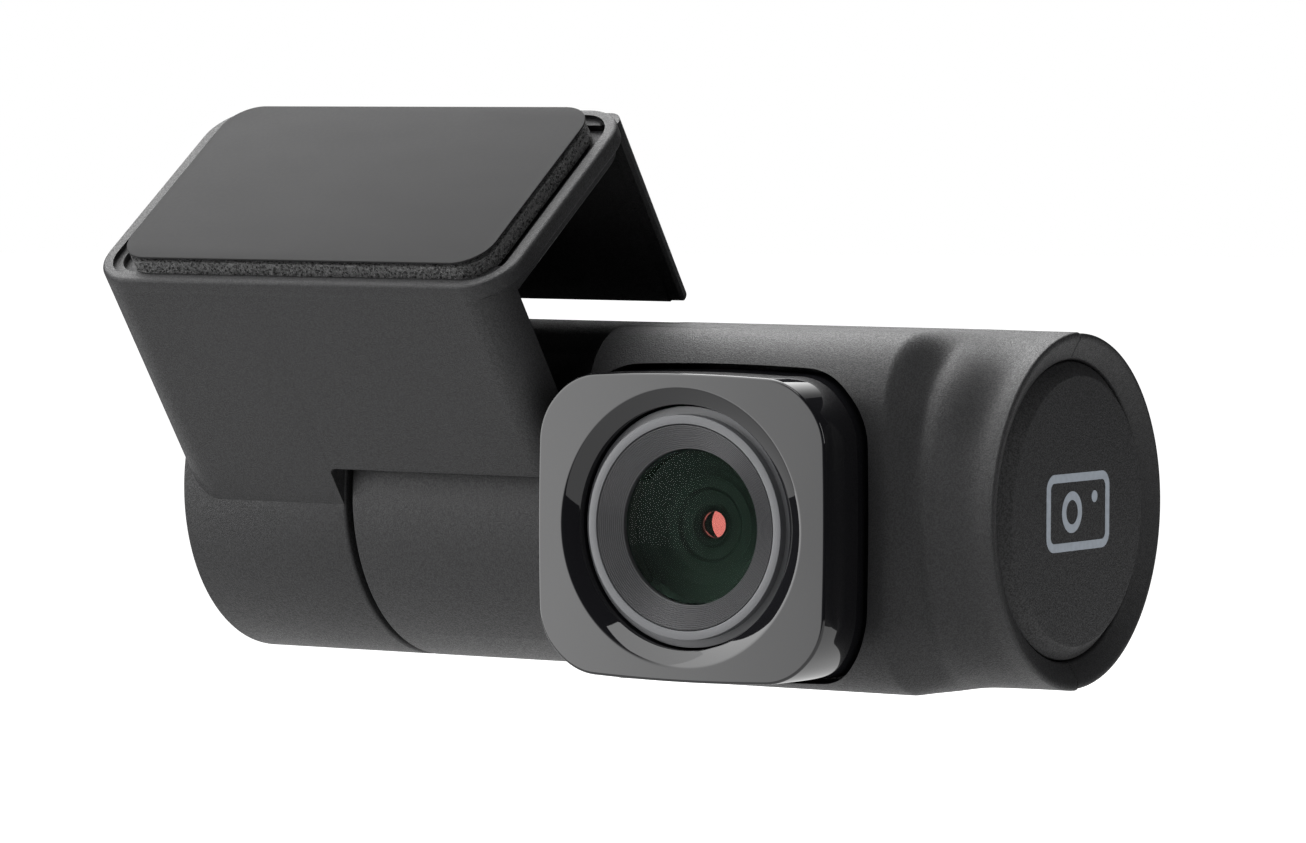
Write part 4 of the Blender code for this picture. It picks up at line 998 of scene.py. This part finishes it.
def split_sides(outline):
    """The outline of a rounded rectangle with points added along its four straight sides."""
    points = []
    for k, (start, end) in enumerate(zip(outline, outline[1:] + outline[:1])):
        count = SIDE_STEPS if k % (ARC_STEPS + 1) == ARC_STEPS else 1
        for j in range(count):
            points.append(tuple(a + (b - a) * j / count for a, b in zip(start, end)))
    return points


def bezel_outline(offset=0.0):
    """The bezel's outline round (0, 0) as (x, z): a rounded square whose sides bow outwards."""
    corner = BEZEL_CORNER + offset
    half_x = BEZEL_HALF_WIDTH - BEZEL_GAP - BEZEL_BOW_X + offset
    half_z = (BEZEL_HIGH - BEZEL_LOW) / 2 - BEZEL_GAP - BEZEL_BOW_Z + offset
    flat = rounded_outline((-half_x, -half_z), (half_x, half_z), (corner, corner), ARC_STEPS)
    points = []
    for x, z in split_sides(flat):
        across = max(0.0, 1 - (z / (half_z - corner * BOW_INTO_CORNER)) ** 2)
        along = max(0.0, 1 - (x / (half_x - corner * BOW_INTO_CORNER)) ** 2)
        side_x = smooth_step((abs(x) - half_x + corner) / corner)
        side_z = smooth_step((abs(z) - half_z + corner) / corner)
        x += math.copysign(BEZEL_BOW_X * across * side_x, x)
        z += math.copysign(BEZEL_BOW_Z * along * side_z, z)
        points.append((x, z))
    return points


def bezel_ring(y, offset):
    return [(LENS_X + x, y, LENS_Z + z) for x, z in bezel_outline(offset)]


class DASHCAM_OT_front_shell(bpy.types.Operator):
    """Builds the front shell, with the boss and flare round the lens"""

    bl_idname = "dashcam.front_shell"
    bl_label = "Front shell"

    def execute(self, context):
        barrel = context.scene.dashcam_barrel
        bm = bmesh.new()
        half_shell(bm, True, barrel)
        shell = make_object("front_housing", bm, BARREL)
        gap = BEZEL_GAP + barrel.bezel_seam / MM
        rings = [bezel_ring(BEZEL_FACE - OVERCUT, gap), bezel_ring(BEZEL_BACK + 0.15, gap)]
        apply_cuts(shell, [(lofted("opening_tool", rings, BARREL), "DIFFERENCE")])
        material = shell_plastic("front_plastic", context)
        finish_piece(shell, "camera", material, "matte_black_plastic", "front_shell")
        return {"FINISHED"}


POST_RADIUS = 2.3
WELL_RADIUS = 1.7
WELL_TO_HEAD = 1.45
WELL_END = 20.0  # past the shell
MOUTH_GAP = 0.2
MOUTH_REACH = 4  # each way from the barrel's surface


def screw_places():
    """(x, z) of each shell screw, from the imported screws."""
    nodes = [f"shell_screw_{number}" for number in range(1, 5)]
    return [(middle(node, 0), middle(node, 2) - AXIS_Z) for node in nodes]


class DASHCAM_OT_rear_shell(bpy.types.Operator):
    """Builds the rear shell, with its screw wells and the socket's mouth"""

    bl_idname = "dashcam.rear_shell"
    bl_label = "Rear shell"

    def execute(self, context):
        bm = bmesh.new()
        half_shell(bm, False, context.scene.dashcam_barrel)
        shell = make_object("rear_housing", bm, BARREL)
        seat = span("shell_screw_1", 1)[1] - AXIS_Y - WELL_TO_HEAD
        tools = []
        for number, place in enumerate(screw_places(), 1):
            wall_at = math.sqrt((BARREL_RADIUS - 0.8) ** 2 - (abs(place[1]) + 1.8) ** 2)
            for name, start, end, radius, operation in (
                (f"post_tool_{number}", 0.4, wall_at, POST_RADIUS, "UNION"),
                (f"well_tool_{number}", seat, WELL_END, WELL_RADIUS, "DIFFERENCE"),
            ):
                profile = [(start, 0.0), (start, radius), (end, radius), (end, 0.0)]
                tools.append((turned(name, profile, BARREL, "Y", place, 48), operation))
        low_x, high_x = span("socket_sleeve", 0)
        low_z, high_z = (level - AXIS_Z for level in span("socket_sleeve", 2))
        low = (low_x - MOUTH_GAP, low_z - MOUTH_GAP)
        outline = rounded_outline(low, (high_x + MOUTH_GAP, high_z + MOUTH_GAP), (0.7, 0.7), 8)
        ends = (BARREL_RADIUS - MOUTH_REACH, BARREL_RADIUS + MOUTH_REACH)
        mouth = lofted("mouth_tool", [[(x, y, z) for x, z in outline] for y in ends], BARREL)
        apply_cuts(shell, [*tools, (mouth, "DIFFERENCE")])
        material = shell_plastic("rear_plastic", context)
        finish_piece(shell, "camera", material, "matte_black_plastic", "rear_shell")
        return {"FINISHED"}


class DASHCAM_OT_end_cap(bpy.types.Operator):
    """Builds the chamfered cap at the free end and the pictogram printed on it"""

    bl_idname = "dashcam.end_cap"
    bl_label = "End cap"

    def execute(self, context):
        back, face = span("end_cap", 0)
        radius = LIP_RADIUS - 0.15
        seat = face - 1.75
        profile = [
            (face, 0.0),
            (face, radius - 0.95),
            (face - 0.85, radius),
            (seat, radius),
            (seat, radius + 0.3),
            (back, radius + 0.3),
            (back, 0.0),
        ]
        cap = turned("end_cover", soften(profile, 0.07), BARREL, "X")
        material = shell_plastic("end_cover_plastic", context, 1.15, 0.55, 0.6)
        finish_piece(cap, "camera", material, "matte_black_plastic", "end_cap")

        bm = bmesh.new()
        add_pictogram(bm, face)
        mark = make_object("printed_mark", bm, BARREL)
        ink = plain_moulding("mark_ink", context.scene.dashcam_finish.mark, 0.5)
        finish_piece(mark, "camera", ink, "matte_black_plastic")
        return {"FINISHED"}


INK_UNDER, INK_OVER = 0.01, 0.02  # from the cap's face
MARK_HALF = (4.6, 2.7)
MARK_CORNER = 1.1
MARK_LINE = 0.6
MARK_LENS = (-0.9, 0.0, 1.45, 0.85)  # y, z, outer radius and inner radius
MARK_DOT = (2.4, 0.95, 0.42)  # y, z and radius


def add_band(bm, face, outer, inner):
    """A thin printed band between two (y, z) outlines of the same count."""
    under, over = face - INK_UNDER, face + INK_OVER
    rings = []
    for outline, level in ((outer, under), (outer, over), (inner, over), (inner, under)):
        rings.append([(level, y, z) for y, z in outline])
    loft(bm, rings, cyclic=True)


def mark_circle(y, z, radius):
    angles = [2 * math.pi * k / 64 for k in range(64)]
    return [(radius * math.cos(angle) + y, radius * math.sin(angle) + z) for angle in angles]


def mark_frame(inset):
    y, z = (half - inset for half in MARK_HALF)
    return rounded_outline((-y, -z), (y, z), (MARK_CORNER - inset, MARK_CORNER - inset), 8)


def add_pictogram(bm, face):
    """A plain picture of a camera: a frame, a lens ring and a dot."""
    add_band(bm, face, mark_frame(0.0), mark_frame(MARK_LINE))
    y, z, outer, inner = MARK_LENS
    add_band(bm, face, mark_circle(y, z, outer), mark_circle(y, z, inner))
    levels = (face - INK_UNDER, face + INK_OVER)
    loft(bm, [[(level, *point) for point in mark_circle(*MARK_DOT)] for level in levels])


# ---------------------------------------------------------------- lens

MOUTH_TOP = 9.64
MOUTH_BOTTOM = 8.51
MOUTH_DEPTH = 0.55
TRIM_OUTER = 7.79
TRIM_INNER = 7.16
TRIM_HOLE = 5.42
BEZEL_EDGE = 0.16
MOUTH_LIP = 0.1
MOUTH_LIP_STEPS = 4
BEZEL_PLATE = 2.3  # from its face to the back of the plate round the mouth


class DASHCAM_OT_bezel(bpy.types.Operator):
    """Builds the glossy bezel with the funnel round the lens"""

    bl_idname = "dashcam.bezel"
    bl_label = "Lens bezel"

    def execute(self, context):
        middle_y = (BEZEL_FACE + BEZEL_BACK) / 2
        rings = [bezel_ring(BEZEL_BACK, 0.15), bezel_ring(middle_y, 0.07)]
        for depth, inset in reversed(edge_steps(BEZEL_EDGE)):
            rings.append(bezel_ring(BEZEL_FACE + depth, -inset))
        rings.append(bezel_ring(BEZEL_FACE, -BEZEL_EDGE - 0.06))
        slope = math.atan2(MOUTH_TOP - MOUTH_BOTTOM, MOUTH_DEPTH)
        rings.append(self.circle(BEZEL_FACE, MOUTH_TOP + MOUTH_LIP + 0.05))
        for k in range(MOUTH_LIP_STEPS + 1):
            t = k / MOUTH_LIP_STEPS
            flat, down = MOUTH_LIP * (1 - t) ** 2, MOUTH_LIP * t * t
            radius = MOUTH_TOP + flat - down * math.sin(slope)
            rings.append(self.circle(BEZEL_FACE + down * math.cos(slope), radius))
        for past, wider in ((-0.05, 0.09), (0.0, 0.02), (0.06, 0.0)):
            rings.append(self.circle(BEZEL_FACE + MOUTH_DEPTH + past, MOUTH_BOTTOM + wider))
        plate = BEZEL_FACE + BEZEL_PLATE
        rings.append(self.circle(plate, MOUTH_BOTTOM))
        rings += [bezel_ring(plate, -1.4), bezel_ring(BEZEL_BACK, -1.25)]
        bezel = lofted("bezel_cover", rings, BARREL, cyclic=True)
        material = gloss_plastic("bezel_gloss", context.scene.dashcam_finish.gloss)
        finish_piece(bezel, "camera", material, "gloss_black_plastic", "lens_bezel")
        return {"FINISHED"}

    def circle(self, y, radius):
        """A circle whose points face those of the bezel's outline."""
        ring = []
        for x, z in bezel_outline():
            away = math.hypot(x, z)
            ring.append((LENS_X + radius * x / away, y, LENS_Z + radius * z / away))
        return ring


CONE_STEPS = 13
CONE_DEPTH = 0.78

class DASHCAM_OT_trim_ring(bpy.types.Operator):
    """Builds the satin ring round the lens, with the fine steps of the cone inside it"""

    bl_idname = "dashcam.trim_ring"
    bl_label = "Trim ring"

    def execute(self, context):
        centre = (LENS_X, LENS_Z)
        back = span("lens_trim_ring", 1)[1] - AXIS_Y
        shoulder = TRIM_FACE + 0.7
        face = [
            (TRIM_FACE, TRIM_INNER),
            (TRIM_FACE, TRIM_OUTER),
            (shoulder, TRIM_OUTER),
            (shoulder, MOUTH_BOTTOM - 0.15),
            (back, MOUTH_BOTTOM - 0.15),
            (back, TRIM_INNER),
        ]
        ring = turned("lens_ring_face", soften(face, 0.06, 3), BARREL, "Y", centre)
        satin = satin_metal("ring_satin", context.scene.dashcam_finish.ring, 0.4, 0.0)
        finish_piece(ring, "camera", satin, "lens_ring", "lens_trim_ring")

        front = TRIM_FACE + 0.05
        outer = TRIM_INNER - 0.06
        cone = [(back, outer), (back, TRIM_HOLE), (front + CONE_DEPTH, TRIM_HOLE)]
        for k in range(CONE_STEPS):
            share = 1 - (k + 0.5) / CONE_STEPS
            radius = TRIM_HOLE + (outer - TRIM_HOLE) * (1 - share)
            level = front + CONE_DEPTH * share
            cone += [(level - 0.012, radius - 0.02), (level + 0.02, radius + 0.03)]
        cone.append((front, outer))
        baffle = turned("lens_cone", cone, BARREL, "Y", centre)
        black = satin_metal("cone_black", (0.06, 0.06, 0.063), 0.42, 0.0)
        finish_piece(baffle, "camera", black, "lens_ring")
        return {"FINISHED"}


def dome(edge, radius, height, steps=12):
    """Lens surface from the axis to its edge; height is the apex's offset along Y."""
    return [
        (edge + height * (1 - (k / steps) ** 2), radius * k / steps) for k in range(steps + 1)
    ]


# Profile of the tube behind the glass: (mark, distance past the mark, radius)
TUBE = (
    ("glass", 1.1, 5.45),
    ("glass", 1.1, 6.3),
    ("tunnel", 1.2, 6.3),
    ("tunnel", 1.2, 5.6),
    ("deep", 0.0, 5.6),
    ("deep", 0.0, 3.6),
    ("stop", 0.5, 3.6),
    ("stop", 0.5, 1.0),
    ("stop", 0.25, 0.92),
    ("stop", 0.0, 1.05),
    ("stop", -0.12, 1.3),
    ("stop", -0.25, 1.4),
    ("stop", -0.12, 1.6),
    ("stop", -0.12, 2.4),
    ("stop", -0.4, 2.6),
    ("stop", -0.4, 3.3),
    ("tunnel", 0.0, 4.1),
    ("back", 0.02, 5.45),
)
GLASS_RADIUS = 5.3
GLASS_BACK_RADIUS = 3.9
INNER_RADIUS = 0.9
WINDOW_RADIUS = 1.3


class DASHCAM_OT_lens(bpy.types.Operator):
    """Builds the front glass and what shows behind it"""

    bl_idname = "dashcam.lens"
    bl_label = "Lens"

    def execute(self, context):
        centre = (LENS_X, LENS_Z)
        back = span("front_lens", 1)[1] - AXIS_Y
        front = dome(GLASS_FACE + 0.6, GLASS_RADIUS, -0.6)
        profile = [*front, (back, GLASS_RADIUS), *reversed(dome(back, GLASS_BACK_RADIUS, -0.6))]
        glass = turned("front_glass", profile, BARREL, "Y", centre, 128)
        green = lens_glass("glass_green", (0.3, 0.4, 0.34), 0.99)
        finish_piece(glass, "camera", green, "lens_glass", "front_lens")

        deep = span("lens_barrel", 1)[1] - AXIS_Y
        tunnel = back + 0.25
        stop = tunnel + 0.8
        marks = {"glass": GLASS_FACE, "back": back, "tunnel": tunnel, "stop": stop, "deep": deep}
        bore = [(marks[mark] + past, radius) for mark, past, radius in TUBE]
        tube = turned("lens_tube", soften(bore, 0.08, 3), BARREL, "Y", centre, 96)
        finish_piece(tube, "camera", ridged_black("tube_black"), "black_anodised", "lens_barrel")

        rim = stop + 0.45
        profile = [*dome(stop + 0.35, INNER_RADIUS, -0.25), (rim, INNER_RADIUS), (rim, 0.0)]
        inner = turned("inner_glass", profile, BARREL, "Y", centre, 64)
        pale = lens_glass("glass_inner", (0.7, 0.75, 0.72))
        finish_piece(inner, "camera", pale, "lens_glass", "middle_lens")

        near, far = stop + 2.1, stop + 2.1 + 0.3
        profile = [(near, 0.0), (near, WINDOW_RADIUS), (far, WINDOW_RADIUS), (far, 0.0)]
        window = turned("filter_window", profile, BARREL, "Y", centre, 64)
        # The filter's emission is a painted reflection of its coating, not a lamp.
        finish_piece(window, "camera", filter_with_painted_reflection("filter_red_painted_reflection"), "lens_glass")
        return {"FINISHED"}


# ---------------------------------------------------------------- hidden and small pieces


class DASHCAM_OT_inner_pieces(bpy.types.Operator):
    """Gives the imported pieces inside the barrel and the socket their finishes"""

    bl_idname = "dashcam.inner_pieces"
    bl_label = "Inner pieces"

    def execute(self, context):
        finishes = {
            "pivot_hub": shell_plastic("hub_plastic", context),
            "friction_washer": plain_moulding("fibre_tan", (0.3, 0.22, 0.14), 0.8),
            "heat_sink": satin_metal("sink_aluminium", (0.62, 0.62, 0.64)),
            "storage_capacitor": plain_moulding("sleeve_blue", (0.02, 0.03, 0.09), 0.3),
        }
        steel = plated_steel("plated_steel")
        board = solder_mask("solder_mask")
        chip = plain_moulding("chip_resin", (0.02, 0.02, 0.021), 0.5)
        nylon = plain_moulding("nylon_natural", (0.6, 0.58, 0.5), 0.45)
        black = ridged_black("holder_black")
        clear = lens_glass("glass_clear", (0.8, 0.85, 0.82))
        shared = {
            steel: ["spring_washer", "clamp_disc", "pivot_screw", "socket_sleeve"],
            board: ["sensor_board", "main_board"],
            chip: ["image_sensor", "image_processor", "memory_chip"],
            nylon: ["board_connector", "socket_tongue"],
            black: ["lens_spacer", "lens_retainer", "lens_holder"],
            clear: ["rear_lens", "ir_filter"],
        }
        shared[steel] += [f"shell_screw_{number}" for number in range(1, 5)]
        shared[steel] += ["board_screw_1", "board_screw_2"]
        for material, nodes in shared.items():
            finishes.update({node: material for node in nodes})
        for node, material in finishes.items():
            holder = frame["nodes"][node]
            if not holder.material_slots:
                raise RuntimeError(f"{node} has no material slot")
            for place in holder.material_slots:
                place.link = "OBJECT"
                place.material = material
        return {"FINISHED"}


# ---------------------------------------------------------------- studio

VIEW_AZIMUTH = 32.09
VIEW_ELEVATION = 2.816
VIEW_ROLL = 0.197
VIEW_DISTANCE = 452.93
VIEW_LENS = 172.26
VIEW_AIM_X = 15.08
VIEW_AIM_Z = 5.25

WHITE = (1.0, 1.0, 1.0, 1.0)
WORLD_DIM = (0.03, 0.03, 0.032, 1.0)
PANEL_DIM = (0.05, 0.05, 0.05)
FLOOR_RADIUS = 4.0
LEVEL = AXIS_Z * MM
LENS_AIM = (LENS_X * MM, AXIS_Y * MM, LEVEL)
SIDE_PLACE = (-0.28, -0.345, LEVEL + 0.13)
ABOVE_LENS = (LENS_X * MM, AXIS_Y * MM, LEVEL + 0.1)
ABOVE_CARD = (0.02, 0.05, 1.0)
# Name, place and target in metres, size, setting of the strength, share of it, and falloff
PANELS = (
    ("side_panel", SIDE_PLACE, ABOVE_LENS, (0.52, 0.6), "side", 1.0, (0.11, 0.49)),
    ("top_panel", (-0.1, 0.17, 0.34), LENS_AIM, (0.6, 0.46), "top", 1.0, (1.0, 0.45)),
    ("front_top_panel", (-0.12, -0.28, 0.4), LENS_AIM, (0.45, 0.35), "top", 0.55, None),
    ("back_panel", (-0.32, 0.5, 0.08), LENS_AIM, (0.5, 0.26), "top", 0.13, None),
    ("right_panel", (0.6, -0.05, 0.2), LENS_AIM, (0.3, 0.3), "side", 0.6, None),
    ("lower_card", (0.02, 0.05, LEVEL - 0.07), ABOVE_CARD, (0.7, 0.7), "lower", 1.0, None),
)


def emission(name, strength, falloff):
    """Light panel's material; falloff is (start, end) along its own X, in shares of its width."""
    shader = Shader(name)
    light = WHITE
    if falloff:
        place = shader.node("ShaderNodeTexCoord")["Generated"]
        across = shader.node("ShaderNodeSeparateXYZ", None, {"Vector": place})["X"]
        light = shader.mix(shader.ramp(across, *falloff), PANEL_DIM, WHITE)
    lamp = shader.node("ShaderNodeEmission", None, {"Color": light, "Strength": strength})
    shader.node("ShaderNodeOutputMaterial", None, {"Surface": lamp["Emission"]})
    return shader.owner


def staged(name, bm, material):
    """A piece of the studio, which isn't part of the dash camera."""
    mesh = bpy.data.meshes.new(name)
    bm.to_mesh(mesh)
    bm.free()
    mesh.materials.append(material)
    made = bpy.data.objects.new(name, mesh)
    bpy.context.scene.collection.objects.link(made)
    return made


def add_panel(name, centre, target, size, material):
    """A light panel at centre facing target, hidden from the camera."""
    bm = bmesh.new()
    bmesh.ops.create_grid(bm, x_segments=1, y_segments=1, size=0.5)
    bmesh.ops.scale(bm, vec=(*size, 1.0), verts=bm.verts)
    panel = staged(name, bm, material)
    panel.location = centre
    facing = Vector(target) - Vector(centre)
    panel.rotation_euler = facing.to_track_quat("Z", "Y").to_euler()
    panel.visible_camera = False


class DASHCAM_OT_studio(bpy.types.Operator):
    """Builds the pale floor, the soft lights and the camera"""

    bl_idname = "dashcam.studio"
    bl_label = "Studio"

    def execute(self, context):
        studio = context.scene.dashcam_studio
        self.add_floor(studio)
        for name, centre, target, size, setting, share, falloff in PANELS:
            strength = getattr(studio, f"{setting}_light") * share
            add_panel(name, centre, target, size, emission(f"{name}_light", strength, falloff))
        self.add_world(context.scene)
        self.add_camera(context.scene)
        context.scene.view_settings.view_transform = "Standard"
        context.scene.view_settings.look = "None"
        return {"FINISHED"}

    def add_floor(self, studio):
        shader = Shader("floor_white")
        cloud = shader.noise(0.3, 2.0)
        pale = shader.finish(
            Base_Color=shader.mix(cloud, (0.86, 0.86, 0.86), (0.88, 0.88, 0.88)),
            Roughness=0.9,
            Emission_Color=WHITE,
            Emission_Strength=1.1,
            Specular_IOR_Level=0.0,
        )
        bm = bmesh.new()
        bmesh.ops.create_circle(bm, cap_ends=True, segments=96, radius=FLOOR_RADIUS)
        floor = staged("floor", bm, pale)
        floor.location = (0.0, 0.0, (AXIS_Z - BARREL_RADIUS) * MM - studio.floor_drop)
        floor.visible_glossy = False
        floor.visible_diffuse = False

    def add_world(self, scene):
        """White to the camera, so that the floor has no horizon, and dim to everything else."""
        shader = Shader("studio_world", bpy.data.worlds)
        seen = shader.node("ShaderNodeLightPath")["Is Camera Ray"]
        dim = shader.node("ShaderNodeBackground", None, {"Color": WORLD_DIM})[0]
        white = shader.node("ShaderNodeBackground", None, {"Color": WHITE})[0]
        both = shader.node("ShaderNodeMixShader", None, {"Fac": seen, 1: dim, 2: white})[0]
        shader.node("ShaderNodeOutputWorld", None, {"Surface": both})
        scene.world = shader.owner

    def add_camera(self, scene):
        azimuth, elevation = math.radians(VIEW_AZIMUTH), math.radians(VIEW_ELEVATION)
        roll = math.radians(VIEW_ROLL)
        back = Vector(
            (
                math.sin(azimuth) * math.cos(elevation),
                -math.cos(azimuth) * math.cos(elevation),
                math.sin(elevation),
            )
        )
        level = Vector((math.cos(azimuth), math.sin(azimuth), 0.0))
        rise = back.cross(level)
        right = level * math.cos(roll) + rise * math.sin(roll)
        aim = Vector((VIEW_AIM_X, AXIS_Y, AXIS_Z + VIEW_AIM_Z)) * MM
        turn_matrix = Matrix((right, back.cross(right), back)).transposed().to_4x4()
        lens = bpy.data.cameras.new("view_camera")
        lens.lens = VIEW_LENS
        lens.sensor_width = 36.0
        lens.clip_start = 0.01
        camera = bpy.data.objects.new("view_camera", lens)
        scene.collection.objects.link(camera)
        camera.matrix_world = Matrix.Translation(aim + back * VIEW_DISTANCE * MM) @ turn_matrix
        scene.camera = camera


# ---------------------------------------------------------------- add-on


class DASHCAM_PT_panel(bpy.types.Panel):
    """Lists the pieces of the dash camera and their settings"""

    bl_idname = "DASHCAM_PT_panel"
    bl_label = "Dash Camera"
    bl_space_type = "VIEW_3D"
    bl_region_type = "UI"
    bl_category = "Dash Camera"

    def draw(self, context):
        for setting in SETTINGS:
            group = getattr(context.scene, setting)
            for name in group.bl_rna.properties.keys():
                if name not in ("rna_type", "name"):
                    self.layout.prop(group, name)
        for operator in OPERATORS:
            self.layout.operator(operator.bl_idname)


SETTINGS = {
    "dashcam_bracket": BracketSettings,
    "dashcam_barrel": BarrelSettings,
    "dashcam_finish": FinishSettings,
    "dashcam_studio": StudioSettings,
}

OPERATORS = (
    DASHCAM_OT_studio,
    DASHCAM_OT_bracket,
    DASHCAM_OT_cup_disc,
    DASHCAM_OT_pad,
    DASHCAM_OT_front_shell,
    DASHCAM_OT_rear_shell,
    DASHCAM_OT_end_cap,
    DASHCAM_OT_bezel,
    DASHCAM_OT_trim_ring,
    DASHCAM_OT_lens,
    DASHCAM_OT_inner_pieces,
)


def register():
    for group in SETTINGS.values():
        bpy.utils.register_class(group)
    for name, group in SETTINGS.items():
        setattr(bpy.types.Scene, name, bpy.props.PointerProperty(type=group))
    for operator in OPERATORS:
        bpy.utils.register_class(operator)
    bpy.utils.register_class(DASHCAM_PT_panel)


def unregister():
    bpy.utils.unregister_class(DASHCAM_PT_panel)
    for operator in reversed(OPERATORS):
        bpy.utils.unregister_class(operator)
    for name in SETTINGS:
        delattr(bpy.types.Scene, name)
    for group in reversed(SETTINGS.values()):
        bpy.utils.unregister_class(group)


def main():
    register()
    for operator in OPERATORS:
        family, name = operator.bl_idname.split(".")
        getattr(getattr(bpy.ops, family), name)()


if __name__ == "__main__":
    main()
